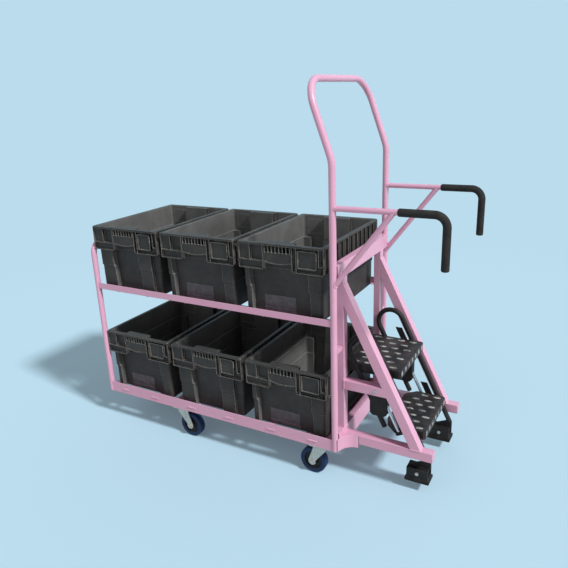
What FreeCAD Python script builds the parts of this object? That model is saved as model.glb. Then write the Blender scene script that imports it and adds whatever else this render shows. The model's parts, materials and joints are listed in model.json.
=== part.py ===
import FreeCAD, Part
import math
import os
import re

import Sketcher
from FreeCAD import Vector

# An order picking trolley: two rows of totes in a tube frame, a push hoop with two handles,
# and a spring-return step unit at the handle end.
# +X points to the handle end, +Y to the far side, +Z up, with the floor at Z = 0.

# Sizes in millimetres and degrees
SIZES = {
    # totes
    "tote_width": 400,
    "tote_length": 600,
    "tote_height": 317,
    "tote_gap": 22.5,
    "row_mid": -225.5,
    "tote_wall": 2.6,
    "tote_floor": 3.5,
    "base_inset": 29,
    "ledge_low_inset": 26,
    "ledge_high_inset": 23,
    "top_inset": 20,
    "ledge_height": 165,
    "column_edge": 128,
    "column_depth": 24,
    "rim_height": 98,
    "rim_plate": 4,
    "rim_corner": 12,
    "rib_recess": 2,
    "rib_sheet": 3,
    "side_rib_pitch": 200,
    "block_edge": 92,
    "block_shelf": 62,
    "panel_set_back": 12,
    "skirt_drop": 62,
    "skirt_sag": 12,
    "label_width": 150,
    "label_height": 64,
    "label_base": 6,
    "plate_stand": 4,
    # round tubes of the frame
    "tube_od": 28,
    "side_inset": 6,
    "hoop_clear": 3,
    "push_clear": 23,
    "hoop_top": 965,
    "hoop_bend": 58,
    "push_top": 1676,
    "lean_rise": 292,
    "push_lean": 19.6,
    "shoulder_bend": 150,
    "push_bend": 110,
    "cope_depth": 5,
    "weld_gap": 0.2,
    # shelves and lower frame
    "castor_height": 155,
    "rail_out": 10,
    "rail_leg": 30,
    "rail_sheet": 3,
    "upper_rail_z": 730,
    "low_box": 25,
    "low_box_wall": 2,
    "bar_inset": 105,
    "bar_leg": 30,
    "bar_drop": 20,
    "bearer_width": 100,
    "beam_height": 81,
    # side frames round the steps
    "step_box": 40,
    "post_depth": 30,
    "step_box_wall": 2,
    "step_set_in": 80,
    "step_bar_z": 175,
    "step_bar_length": 387,
    "diagonal_foot": 338,
    "step_lean": 26.5,
    "post_above": 31,
    "strut_z": 426,
    "top_beam_height": 60,
    "gusset_radius": 70,
    "gusset_sheet": 4,
    "tab_width": 20,
    "tab_z": 604,
    "cap_sheet": 3,
    # handles
    "handle_od": 22,
    "handle_drop": 174,
    "handle_reach": 430,
    "handle_bend": 45,
    "brace_drop": 313,
    "brace_reach": 240,
    "grip_od": 30,
    "grip_start": 255,
    "grip_drop": 200,
    "grip_fit": 0.1,
    # step unit
    "step_od": 22,
    "step_bend": 60.5,
    "step_unit_x": 64,
    "step_unit_z": 592,
    "rear_leg": 345,
    "guide_width": 36,
    "guide_x": 102,
    "guide_depth": 75,
    "guide_rise": 18,
    "guide_drop": 116,
    "guide_corner": 12,
    "run_fit": 0.06,
    "bolt_od": 16,
    "bolt_head": 6,
    "rod_od": 14,
    "rod_ahead": 51,
    "rod_bore": 82,
    "rod_back_off": 2,
    "lug_width": 26,
    "lug_height": 14,
    "lug_reach": 9,
    "upper_tread_z": 522,
    "upper_tread_depth": 242,
    "upper_tread_nose": 57,
    "lower_tread_z": 266,
    "lower_tread_depth": 179,
    "lower_tread_nose": 42,
    "lower_tread_corner": 46,
    "tread_corner": 8,
    "tread_sheet": 3,
    "tread_lip": 37,
    "toe_guard": 30,
    "tread_tab_width": 30,
    "tread_tab_height": 52,
    "tread_tab_lap": 20,
    "tread_tab_back": 21,
    "tread_tab_sheet": 5,
    "pad_lift": 40,
    "pad_height": 24,
    "pad_length": 104,
    "pad_width": 66,
    "pad_bevel": 6,
    "bracket_height": 42,
    "bracket_width": 56,
    "bracket_length": 92,
    "bracket_wall": 5,
    "foot_gusset": 8,
    "foot_gusset_rise": 34,
    "foot_nose": -22,
    # castors
    "castor_setback": 76,
    "castor_offset": 22.5,
    "castor_trail": 40,
    "plate_length": 95,
    "plate_width": 80,
    "plate_sheet": 4,
    "race_od": 76,
    "race_depth": 10,
    "swivel_gap": 0.4,
    "king_od": 12,
    "king_fit": 0.06,
    "fork_head": 8,
    "fork_sheet": 4,
    "fork_inside": 44,
    "fork_eye": 34,
    "fork_back": 28,
    "fork_front": 34,
    "wheel_od": 125,
    "tyre_width": 36,
    "tyre_depth": 19,
    "tyre_fit": 0.1,
    "hub_boss_od": 34,
    "hub_length": 41,
    "axle_od": 12,
    "axle_fit": 0.06,
    "axle_head_od": 20,
    "axle_head": 7,
}
TOTES_IN_ROW = 3
SIDE_RIBS = 3
HUB_SIDES = 12
HEX_SIDES = 6
# Bends are drawn as short mitred lengths
HOOP_JOINTS = 3
SHOULDER_JOINTS = 1
GRIP_JOINTS = 2
STEP_JOINTS = 4
# A swept section's seam is turned away from the mitres, where it would leave edges of no length
SEAM_TURN = 40

doc = FreeCAD.newDocument("OrderPickingTrolley")
sheet = doc.addObject("Spreadsheet::Sheet", "Sizes")
for row, (size_name, size_value) in enumerate(SIZES.items(), start=1):
    sheet.set(f"A{row}", size_name)
    sheet.set(f"B{row}", str(size_value))
    sheet.setAlias(f"B{row}", size_name)
doc.recompute()
nodes = []


# Formulas and bindings

def linked(formula):
    """A formula over bare size names, as an expression that reads the sheet."""
    return re.sub(r"[a-z_][a-z0-9_]*", lambda m: f"Sizes.{m[0]}" if m[0] in SIZES else m[0], formula)


def number(formula):
    """The present value of a formula over size names."""
    return float(sheet.evalExpression(formula))


def bind(item, prop, formula):
    item.setExpression(prop, linked(formula))


def node(name, item):
    """Marks an object as a sub-part under its own name."""
    item.Label = name
    nodes.append(item)
    return item


# Places shared by several pieces

ROW_HALF = f"({TOTES_IN_ROW}/2*tote_width + {TOTES_IN_ROW - 1}/2*tote_gap)"
HOOP_X = f"(row_mid - {ROW_HALF} - hoop_clear - tube_od/2)"
PUSH_X = f"(row_mid + {ROW_HALF} + push_clear + tube_od/2)"
PUSH_SHOULDER = "(push_top - lean_rise)"
HANDLE_Z = f"({PUSH_SHOULDER} - handle_drop)"
BRACE_Z = f"({HANDLE_Z} - brace_drop)"
SIDE_Y = "(tote_length/2 - side_inset)"
RAIL_Y = f"({SIDE_Y} + rail_out)"
LIP_Z = "(castor_height + low_box)"
BEAM_X = f"({PUSH_X} - tube_od/2)"
POST_FACE = f"({BEAM_X} + post_depth)"
BEAM_TOP = "(castor_height + beam_height)"
BEAM_HALF = f"({SIDE_Y} - tube_od/2 + cope_depth)"
END_BAR = (f"{HOOP_X} - low_box/2", f"{HOOP_X} + low_box/2")
BAR_TOP = "(step_bar_z + step_box)"
BAR_END = f"({POST_FACE} + step_bar_length - cap_sheet)"
STEP_Y = f"({SIDE_Y} - step_set_in)"
STEP_IN = f"({STEP_Y} - step_box/2)"
STEP_OUT = f"({STEP_Y} + step_box/2)"
DIAGONAL_TOP = f"({BAR_TOP} + diagonal_foot/tan(step_lean))"
POST_TOP = f"({DIAGONAL_TOP} + post_above)"
TOP_BEAM = (POST_TOP, f"{POST_TOP} + top_beam_height")
LEG_Y = f"({STEP_IN} - guide_width/2)"
BEND_X = f"({POST_FACE} + step_unit_x)"
TREAD_HALF = f"({LEG_Y} - step_od/2 - weld_gap)"
BRACKET_Z = "(pad_lift + pad_height)"
BRACKET_TOP = f"({BRACKET_Z} + bracket_height)"
WEB_TOP = f"({BRACKET_TOP} + foot_gusset_rise)"
AXLE_Z = "(wheel_od/2)"
FORK_OUT = "(fork_inside/2 + fork_sheet)"


def front_leg_x(z):
    """X of the front legs' centre line at a height."""
    return f"({BEND_X} + step_bend/cos(step_lean) + (step_unit_z - ({z}))*tan(step_lean))"


def rear_leg_x(z):
    return f"({BEND_X} - step_bend/cos(step_lean) + (step_unit_z - ({z}))*tan(step_lean))"


def rod_x(z):
    return f"({rear_leg_x(z)} + rod_ahead/cos(step_lean))"


def diagonal_in_x(z):
    """X of the diagonals' inner edge at a height."""
    return f"({POST_FACE} + diagonal_foot - step_box/cos(step_lean) - (({z}) - {BAR_TOP})*tan(step_lean))"


# Part primitives

def box(name, *spans):
    """Upright box between three pairs of formulas, for x, y and z."""
    item = doc.addObject("Part::Box", name)
    for prop, axis, (low, high) in zip(("Length", "Width", "Height"), "xyz", spans):
        bind(item, prop, f"({high}) - ({low})")
        bind(item, f"Placement.Base.{axis}", low)
    return item


def cylinder(name, radius, length, base, turn="0"):
    """Cylinder from a base point, its axis turned from +Z about Y."""
    item = doc.addObject("Part::Cylinder", name)
    bind(item, "Radius", radius)
    bind(item, "Height", length)
    x, y, z = base
    bind(item, "Placement", f"placement(vector({x}; {y}; {z}); rotation(vector(0; 1; 0); {turn}))")
    return item


def hexagon(name, size, length, base, turn="0"):
    """Hexagon prism from a base point, its axis turned from +Z about X."""
    item = doc.addObject("Part::Prism", name)
    item.Polygon = HEX_SIDES
    bind(item, "Circumradius", f"{size}/2")
    bind(item, "Height", length)
    x, y, z = base
    bind(item, "Placement", f"placement(vector({x}; {y}; {z}); rotation(vector(1; 0; 0); {turn}))")
    return item


def bolt_head(name, base, turn="0"):
    return hexagon(name, "bolt_od", "bolt_head", base, turn)


def group(name, items):
    item = doc.addObject("Part::Compound", name)
    item.Links = items
    return item


def copy(name, source, base, turn="0"):
    """A copy of a piece, moved and turned about the vertical."""
    item = group(name, [source])
    x, y, z = base
    bind(item, "Placement", f"placement(vector({x}; {y}; {z}); rotation(vector(0; 0; 1); {turn}))")
    return item


def cut(name, base, *tools):
    item = doc.addObject("Part::Cut", name)
    item.Base = base
    item.Tool = tools[0] if len(tools) == 1 else group(f"{name}_tools", list(tools))
    return item


def mirrored(name, source):
    """The same piece on the other side of the trolley's middle plane."""
    item = doc.addObject("Part::Mirroring", name)
    item.Source = source
    item.Normal = Vector(0, 1, 0)
    return item


def pair(name, source):
    return group(name, [source, mirrored(f"{name}_far", source)])


def box_tube(name, run, wall, *spans):
    """Box section open along its run, one of x, y and z."""
    inside = [
        (low, high) if axis == run else (f"{low} + {wall}", f"{high} - {wall}")
        for axis, (low, high) in zip("xyz", spans)
    ]
    return cut(name, box(f"{name}_outside", *spans), box(f"{name}_inside", *inside))


def cope(name, x, y, z):
    """Saddle cutter for a piece that is welded to an upright tube."""
    low, high = z
    return cylinder(name, "tube_od/2 + weld_gap", f"({high}) - ({low})", (x, y, low))


# Sketches

def plane_of(solid, role):
    return next(feature for feature in solid.Origin.OriginFeatures if feature.Role == role)


def drawing(solid, name, role, offset="0"):
    """A sketch on an origin plane of the body, moved along the plane's normal."""
    item = solid.newObject("Sketcher::SketchObject", name)
    item.AttachmentSupport = [(plane_of(solid, role), "")]
    item.MapMode = "FlatFace"
    bind(item, "AttachmentOffset.Base.z", offset)
    return item


def rule(kind, *where):
    """A geometric constraint, kept until the sketch is solved."""
    return None, kind, where


def dimension(formula, kind, *where):
    """A driving dimension with its formula."""
    return formula, kind, where


def pin(line, end, point):
    """Dimensions of one end of a piece of a sketch from the sketch's origin."""
    x, y = point
    return [dimension(x, "DistanceX", -1, 1, line, end), dimension(y, "DistanceY", -1, 1, line, end)]


def constrain(sketch, rules):
    """Adds all rules at once, so that the sketch is solved once, and binds the dimensions."""
    made = []
    for formula, kind, where in rules:
        value = [] if formula is None else [number(formula)]
        made.append(Sketcher.Constraint(kind, *where, *value))
    first = sketch.ConstraintCount
    sketch.addConstraint(made)
    for i, (formula, _, _) in enumerate(rules):
        if formula is not None:
            bind(sketch, f"Constraints[{first + i}]", formula)


def spot(point):
    x, y = point
    return Vector(number(x), number(y), 0)


def outline(sketch, corners, closed=True):
    """Straight lines through corner points."""
    first = sketch.GeometryCount
    spots = [spot(corner) for corner in corners]
    count = len(spots)
    runs = count if closed else count - 1
    rules = []
    for i in range(runs):
        sketch.addGeometry(Part.LineSegment(spots[i], spots[(i + 1) % count]), False)
        rules += pin(first + i, 1, corners[i])
        if closed or i + 1 < runs:
            rules.append(rule("Coincident", first + i, 2, first + (i + 1) % count, 1))
    if not closed:
        rules += pin(first + runs - 1, 2, corners[-1])
    constrain(sketch, rules)


def chamfered(half_x, half_y, corner):
    """Corner points of a rectangle about the origin with its corners cut off."""
    x, y = f"({half_x})", f"({half_y})"
    in_x, in_y = f"({half_x} - ({corner}))", f"({half_y} - ({corner}))"
    return [
        (f"-{in_x}", f"-{y}"), (in_x, f"-{y}"), (x, f"-{in_y}"), (x, in_y),
        (in_x, y), (f"-{in_x}", y), (f"-{x}", in_y), (f"-{x}", f"-{in_y}"),
    ]


def even_sides(radius, count):
    """Corner points of a regular polygon about the origin."""
    turns = [360 * i / count for i in range(count)]
    return [(f"({radius})*cos({turn})", f"({radius})*sin({turn})") for turn in turns]


def bend(centre, radius, start, stop, joints):
    """Corner points of a bend about a centre, from one angle to another."""
    x, y = centre
    step = f"(({stop} - ({start}))/{joints})"
    reach = f"{radius}/cos({step}/2)"
    turns = [f"({start} + {i + 0.5}*{step})" for i in range(joints)]
    return [(f"{x} + {reach}*cos({turn})", f"{y} + {reach}*sin({turn})") for turn in turns]


def rectangle(sketch, x, y):
    """Rectangle between a pair of formulas each way."""
    outline(sketch, [(x[0], y[0]), (x[1], y[0]), (x[1], y[1]), (x[0], y[1])])


def circle(sketch, centre, radius):
    index = sketch.addGeometry(Part.Circle(spot(centre), Vector(0, 0, 1), number(radius)), False)
    constrain(sketch, [*pin(index, 3, centre), dimension(radius, "Radius", index)])


# Part design features

def new_body(name):
    return doc.addObject("PartDesign::Body", name)


def extrude(solid, kind, sketch, length, symmetric=False, reverse=False):
    feature = solid.newObject(f"PartDesign::{kind}", f"{sketch.Name}_{kind}")
    feature.Profile = sketch
    bind(feature, "Length", length)
    feature.SideType = "Symmetric" if symmetric else "One side"
    feature.Reversed = reverse
    return feature


def sweep(solid, path, corners, radius):
    """Round bar along a path of straight lengths, mitred where they meet."""
    outline(path, corners, closed=False)
    section = solid.newObject("Sketcher::SketchObject", f"{path.Name}_section")
    section.AttachmentSupport = [(path, "Edge1")]
    section.MapMode = "NormalToEdge"
    section.AttachmentOffset = FreeCAD.Placement(Vector(), FreeCAD.Rotation(Vector(0, 0, 1), SEAM_TURN))
    circle(section, ("0", "0"), radius)
    feature = solid.newObject("PartDesign::AdditivePipe", f"{path.Name}_pipe")
    feature.Profile = section
    feature.Spine = (path, [f"Edge{i + 1}" for i in range(len(corners) - 1)])
    feature.Transition = "Right corner"
    return feature


def wedge(solid, kind, name, z, low, high):
    """Block with sloped sides between two levels, with its x and y spans at each."""
    item = solid.newObject(f"PartDesign::{kind}Wedge", name)
    (low_x, low_y), (high_x, high_y) = low, high
    spans = {"Y": z, "X": low_x, "Z": low_y, "X2": high_x, "Z2": high_y}
    for mark, ends in spans.items():
        for tail, formula in zip(("min", "max"), ends):
            bind(item, f"{mark}{tail}", formula)
    # the wedge's own Y axis points up and its Z axis to the near side, where the spans are mirrored
    item.Placement = FreeCAD.Placement(Vector(0, 0, 0), FreeCAD.Rotation(Vector(1, 0, 0), 90))
    return item


def repeat(solid, feature, sketch, pitch, count):
    """Repeats a feature along the upright axis of its sketch."""
    pattern = solid.newObject("PartDesign::LinearPattern", f"{feature.Name}_row")
    pattern.Originals = [feature]
    pattern.Direction = (sketch, ["V_Axis"])
    pattern.Mode = "Spacing"
    pattern.Occurrences = count
    bind(pattern, "Offset", pitch)
    solid.Tip = pattern


def angle_bar(name, role, offset, length, corner, legs, thickness, symmetric=False):
    """Angle section from its outer corner, with signed legs, run along the plane's normal."""
    solid = new_body(name)
    sketch = drawing(solid, f"{name}_section", role, offset)
    x, y = corner
    leg_x, leg_y = legs
    thick_x = thickness if not leg_x.startswith("-") else f"-{thickness}"
    thick_y = thickness if not leg_y.startswith("-") else f"-{thickness}"
    points = [("0", "0"), (leg_x, "0"), (leg_x, thick_y), (thick_x, thick_y), (thick_x, leg_y), ("0", leg_y)]
    outline(sketch, [(f"{x} + ({a})", f"{y} + ({b})") for a, b in points])
    extrude(solid, "Pad", sketch, length, symmetric)
    return solid


# Frame: the two hoops

def build_left_hoop():
    solid = new_body("left_hoop")
    path = drawing(solid, "left_hoop_path", "YZ_Plane", HOOP_X)
    inner = f"({SIDE_Y} - hoop_bend)"
    crown = "(hoop_top - hoop_bend)"
    sweep(solid, path, [
        (f"-{SIDE_Y}", "castor_height"),
        *bend((f"-{inner}", crown), "hoop_bend", "180", "90", HOOP_JOINTS),
        *bend((inner, crown), "hoop_bend", "90", "0", HOOP_JOINTS),
        (SIDE_Y, "castor_height"),
    ], "tube_od/2")
    node("left_hoop", solid)


def build_push_hoop():
    """One tube bent in two planes: it leans at the shoulders and turns at the top corners."""
    x, y, foot, shoulder, top, lean = [
        number(name) for name in (PUSH_X, SIDE_Y, "castor_height", PUSH_SHOULDER, "push_top", "push_lean")
    ]
    top_x = x - (top - shoulder) * math.tan(math.radians(lean))
    turns = [
        Vector(x, -y, foot), Vector(x, -y, shoulder), Vector(top_x, -y, top),
        Vector(top_x, y, top), Vector(x, y, shoulder), Vector(x, y, foot),
    ]
    kinds = [("shoulder_bend", SHOULDER_JOINTS), ("push_bend", HOOP_JOINTS)]
    points = [turns[0]]
    for before, at, after, (radius, joints) in zip(turns, turns[1:], turns[2:], kinds + kinds[::-1]):
        points += space_bend(before, at, after, number(radius), joints)
    points.append(turns[-1])
    ring = Part.Circle(points[0], Vector(0, 0, 1), number("tube_od/2")).toShape()
    ring.rotate(points[0], Vector(0, 0, 1), SEAM_TURN)
    item = doc.addObject("Part::Feature", "push_hoop")
    item.Shape = Part.makePolygon(points).makePipeShell([Part.Wire(ring)], True, False, 1)
    node("push_hoop", item)


def space_bend(before, at, after, radius, joints):
    """Corner points of a bend in space, where two runs meet."""
    back = (before - at).normalize()
    ahead = (after - at).normalize()
    half = math.acos(back.dot(ahead)) / 2
    turn = math.pi - 2 * half
    centre = at + (back + ahead).normalize() * (radius / math.sin(half))
    first = (at + back * (radius / math.tan(half)) - centre).normalize()
    last = (at + ahead * (radius / math.tan(half)) - centre).normalize()
    reach = radius / math.cos(turn / joints / 2)
    points = []
    for i in range(joints):
        part = (i + 0.5) / joints
        aim = first * math.sin((1 - part) * turn) + last * math.sin(part * turn)
        points.append(centre + aim.normalize() * reach)
    return points


# Frame: shelves and the lower frame

def build_rails():
    start = f"{HOOP_X} + tube_od/2 - cope_depth"
    length = f"{PUSH_X} - {HOOP_X} - tube_od + 2*cope_depth"
    beam = box("beam_corner", (BEAM_X, POST_FACE), (f"-{SIDE_Y}", SIDE_Y), ("castor_height", BEAM_TOP))
    end_bar = box("end_bar_corner", END_BAR, (f"-{BEAM_HALF}", BEAM_HALF), ("castor_height", LIP_Z))
    for row, z in (("upper", "upper_rail_z"), ("lower", LIP_Z)):
        for side, sign in (("front", "-"), ("back", "")):
            kind = "rail" if row == "upper" else "lip"
            name = f"{row}_{side}_{kind}"
            inward = "rail_leg" if side == "front" else "-rail_leg"
            corner = (f"{sign}{RAIL_Y}", z)
            legs = (inward, "rail_leg")
            bar = angle_bar(f"{name}_bar", "YZ_Plane", start, length, corner, legs, "rail_sheet")
            span = (z, f"{z} + rail_leg")
            tools = [
                cope(f"{name}_left", HOOP_X, f"{sign}{SIDE_Y}", span),
                cope(f"{name}_right", PUSH_X, f"{sign}{SIDE_Y}", span),
            ]
            if row == "lower":
                tools.append(beam)
            node(name, cut(name, bar, *tools))
    for side, sign in (("front", "-"), ("back", "")):
        name = f"lower_{side}_box"
        face = f"{sign}{RAIL_Y}"
        inner = f"-{RAIL_Y} + low_box" if side == "front" else f"{RAIL_Y} - low_box"
        across = (face, inner) if side == "front" else (inner, face)
        span = ("castor_height", LIP_Z)
        tube = box_tube(f"{name}_tube", "x", "low_box_wall", (start, f"{start} + {length}"), across, span)
        tools = [
            cope(f"{name}_left", HOOP_X, f"{sign}{SIDE_Y}", span),
            cope(f"{name}_right", PUSH_X, f"{sign}{SIDE_Y}", span),
            beam,
            end_bar,
        ]
        node(name, cut(name, tube, *tools))


def between_tubes(name, tube_x, x, z, wall):
    """Box section across the trolley, saddled to the two upright tubes at its ends."""
    tube = box_tube(f"{name}_tube", "y", wall, x, (f"-{BEAM_HALF}", BEAM_HALF), z)
    near = cope(f"{name}_near", tube_x, f"-{SIDE_Y}", z)
    far = cope(f"{name}_far", tube_x, SIDE_Y, z)
    return node(name, cut(name, tube, near, far))


def tote_x(i):
    """X of a tote's middle, counted from the free end."""
    return f"(row_mid + ({i} - {TOTES_IN_ROW - 1}/2)*(tote_width + tote_gap))"


def build_shelf_bars():
    half = f"({RAIL_Y} - rail_leg)"
    bar = angle_bar("shelf_bar", "XZ_Plane", "0", f"2*{half}", ("-bar_leg/2", "0"),
                    ("bar_leg", "-bar_drop"), "rail_sheet", symmetric=True)
    for row, z in (("upper", "upper_rail_z + rail_sheet"), ("lower", f"{LIP_Z} + rail_sheet")):
        bars = []
        for i in range(TOTES_IN_ROW):
            for side, sign in (("a", "-"), ("b", "+")):
                x = f"{tote_x(i)} {sign} (tote_width/2 - bar_inset)"
                bars.append(copy(f"{row}_bar_{i}{side}", bar, (x, "0", z)))
        node(f"{row}_shelf_bars", group(f"{row}_shelf_bars", bars))


CASTOR_X = {
    "free": "(row_mid - tote_width/2 + castor_offset)",
    "handle": f"({PUSH_X} - castor_setback)",
}
CASTOR_Y = f"({RAIL_Y} - plate_width/2)"


def build_lower_frame():
    span = ("castor_height", LIP_Z)
    between_tubes("left_end_bar", HOOP_X, END_BAR, span, "low_box_wall")
    between_tubes("end_beam", PUSH_X, (BEAM_X, POST_FACE), ("castor_height", BEAM_TOP), "step_box_wall")
    half = f"({RAIL_Y} - low_box)"
    bearers = [
        box_tube(f"bearer_{end}", "y", "low_box_wall", (f"{x} - bearer_width/2", f"{x} + bearer_width/2"),
                 (f"-{half}", half), span)
        for end, x in CASTOR_X.items()
    ]
    node("castor_bearers", group("castor_bearers", bearers))


# Frame: the side frames round the steps

def slanted_tube(name, edges):
    """Box section in a side frame, from its two long edges, each a pair of (x, z) ends."""
    solid = new_body(name)
    whole = drawing(solid, f"{name}_side", "XZ_Plane", STEP_Y)
    (a, b), (d, c) = edges["outside"]
    outline(whole, [a, b, c, d])
    extrude(solid, "Pad", whole, "step_box", symmetric=True)
    hollow = drawing(solid, f"{name}_hollow", "XZ_Plane", STEP_Y)
    (a, b), (d, c) = edges["inside"]
    outline(hollow, [a, b, c, d])
    extrude(solid, "Pocket", hollow, "step_box - 2*step_box_wall", symmetric=True)
    return solid


def build_side_frames():
    across = (f"-{STEP_OUT}", f"-{STEP_IN}")
    wall = "step_box_wall"
    post = box_tube("step_post", "z", wall, (BEAM_X, POST_FACE), across, (BEAM_TOP, POST_TOP))
    node("step_posts", pair("step_posts", post))
    bar = box_tube("step_bar", "x", wall, (POST_FACE, BAR_END), across, ("step_bar_z", BAR_TOP))
    node("step_bottom_bars", pair("step_bottom_bars", bar))

    def diagonal_edge(inset):
        """Ends of a line along the diagonal, a distance in from its outer face."""
        foot = f"{POST_FACE} + diagonal_foot - ({inset})/cos(step_lean)"
        top = f"{BAR_TOP} + (diagonal_foot - ({inset})/cos(step_lean))/tan(step_lean)"
        return (POST_FACE, top), (foot, BAR_TOP)

    diagonal = slanted_tube("step_diagonal", {
        "outside": (diagonal_edge("0"), diagonal_edge("step_box")),
        "inside": (diagonal_edge(wall), diagonal_edge(f"step_box - {wall}")),
    })
    node("step_diagonals", pair("step_diagonals", diagonal))

    def strut_edge(z):
        return (POST_FACE, z), (diagonal_in_x(z), z)

    strut = slanted_tube("step_strut", {
        "outside": (strut_edge("strut_z"), strut_edge("strut_z + step_box")),
        "inside": (strut_edge(f"strut_z + {wall}"), strut_edge(f"strut_z + step_box - {wall}")),
    })
    node("step_mid_struts", pair("step_mid_struts", strut))
    between_tubes("top_cross_beam", PUSH_X, (BEAM_X, POST_FACE), TOP_BEAM, wall)


def build_gussets():
    """Pressed corner gusset: a web with a concave quarter-round skirt."""
    solid = new_body("corner_gusset")
    plan = drawing(solid, "gusset_plan", "XY_Plane", "castor_height")
    quarter_round(plan, "gusset_radius", "0")
    extrude(solid, "Pad", plan, f"{BAR_TOP} - castor_height")
    hollow = drawing(solid, "gusset_hollow", "XY_Plane", "castor_height")
    quarter_round(hollow, "gusset_radius", "gusset_sheet")
    extrude(solid, "Pocket", hollow, f"{BAR_TOP} - castor_height - gusset_sheet", reverse=True)
    node("corner_gussets", pair("corner_gussets", solid))


def quarter_round(sketch, radius, inset):
    """Corner between the end beam and a bottom bar, closed by an arc set in from the skirt's face."""
    centre = (f"{POST_FACE} + {radius}", f"-({STEP_OUT} + {radius})")
    rise = f"sqrt(({radius} + {inset})^2 - {radius}^2)"
    along_beam = (POST_FACE, f"-({STEP_OUT} + {radius}) + {rise}")
    along_bar = (f"{POST_FACE} + {radius} - {rise}", f"-{STEP_OUT}")
    corner = (POST_FACE, f"-{STEP_OUT}")
    sketch.addGeometry(Part.LineSegment(spot(corner), spot(along_beam)), False)
    ends = [spot(along_bar) - spot(centre), spot(along_beam) - spot(centre)]
    turns = [math.atan2(end.y, end.x) for end in ends]
    ring = Part.Circle(spot(centre), Vector(0, 0, 1), number(f"{radius} + {inset}"))
    sketch.addGeometry(Part.ArcOfCircle(ring, *turns), False)
    sketch.addGeometry(Part.LineSegment(spot(along_bar), spot(corner)), False)
    constrain(sketch, [
        *pin(0, 1, corner),
        *pin(0, 2, along_beam),
        *pin(2, 1, along_bar),
        rule("Coincident", 2, 2, 0, 1),
        rule("Coincident", 0, 2, 1, 2),
        rule("Coincident", 1, 1, 2, 1),
        dimension(centre[0], "DistanceX", -1, 1, 1, 3),
    ])


def build_small_frame_pieces():
    tab = box("spacer_tab", (f"{PUSH_X} - tab_width/2", f"{PUSH_X} + tab_width/2"),
              (f"-({SIDE_Y} - tube_od/2 - weld_gap)", f"-{STEP_OUT}"), ("tab_z", "tab_z + tab_width"))
    node("spacer_tabs", pair("spacer_tabs", tab))
    cap = box("bar_cap", (BAR_END, f"{BAR_END} + cap_sheet"), (f"-{STEP_OUT}", f"-{STEP_IN}"),
              ("step_bar_z", BAR_TOP))
    node("bar_caps", pair("bar_caps", cap))


# Frame: handles

HANDLE_X = f"({PUSH_X} + handle_reach)"


def build_handles():
    start = f"({PUSH_X} + tube_od/2 - cope_depth)"
    end = f"({HANDLE_X} - handle_bend)"
    bar = cylinder("handle_bar", "handle_od/2", f"{end} - {start}", (start, f"-{SIDE_Y}", HANDLE_Z), "90")
    beside_bar = (f"{HANDLE_Z} - handle_od", f"{HANDLE_Z} + handle_od")
    saddle = cope("handle_saddle", PUSH_X, f"-{SIDE_Y}", beside_bar)
    node("handle_tubes", pair("handle_tubes", cut("handle_saddled", bar, saddle)))

    grip = new_body("handle_grip")
    grip_x = f"({PUSH_X} + grip_start)"
    sweep(grip, drawing(grip, "grip_path", "XZ_Plane", SIDE_Y), [
        (grip_x, HANDLE_Z),
        *bend((end, f"{HANDLE_Z} - handle_bend"), "handle_bend", "90", "0", GRIP_JOINTS),
        (HANDLE_X, f"{HANDLE_Z} - grip_drop"),
    ], "grip_od/2")
    socket = cylinder("grip_socket", "handle_od/2 + grip_fit", f"{end} - {grip_x}",
                      (grip_x, f"-{SIDE_Y}", HANDLE_Z), "90")
    node("handle_grips", pair("handle_grips", cut("grip_on_tube", grip, socket)))

    foot = (PUSH_X, f"-{SIDE_Y}", BRACE_Z)
    brace = cylinder("brace_bar", "handle_od/2", "sqrt(brace_reach^2 + brace_drop^2)", foot,
                     "atan2(brace_reach; brace_drop)")
    upright = cope("brace_foot", PUSH_X, f"-{SIDE_Y}", (f"{BRACE_Z} - tube_od", f"{BRACE_Z} + 2*tube_od"))
    under = cylinder("brace_head", "handle_od/2 + weld_gap", "handle_reach",
                     (PUSH_X, f"-{SIDE_Y}", HANDLE_Z), "90")
    beside = box("brace_beside", (BEAM_X, POST_FACE), (f"-{BEAM_HALF}", "0"), TOP_BEAM)
    node("handle_braces", pair("handle_braces", cut("brace_saddled", brace, upright, under, beside)))


# Step unit

GUIDE_X = f"({POST_FACE} + guide_x)"
GUIDE_FRONT = f"({GUIDE_X} + guide_depth)"
GUIDE_LOW = "(strut_z - guide_drop)"


def rod_line_z(x):
    """Height of the return rods' centre line at an X."""
    return f"(step_unit_z + ({rod_x('step_unit_z')} - ({x}))/tan(step_lean))"


ROD_MOUTH_Z = rod_line_z(GUIDE_FRONT)
ROD_TOP = (f"({GUIDE_FRONT} - rod_bore*sin(step_lean))", f"({ROD_MOUTH_Z} + rod_bore*cos(step_lean))")


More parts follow.
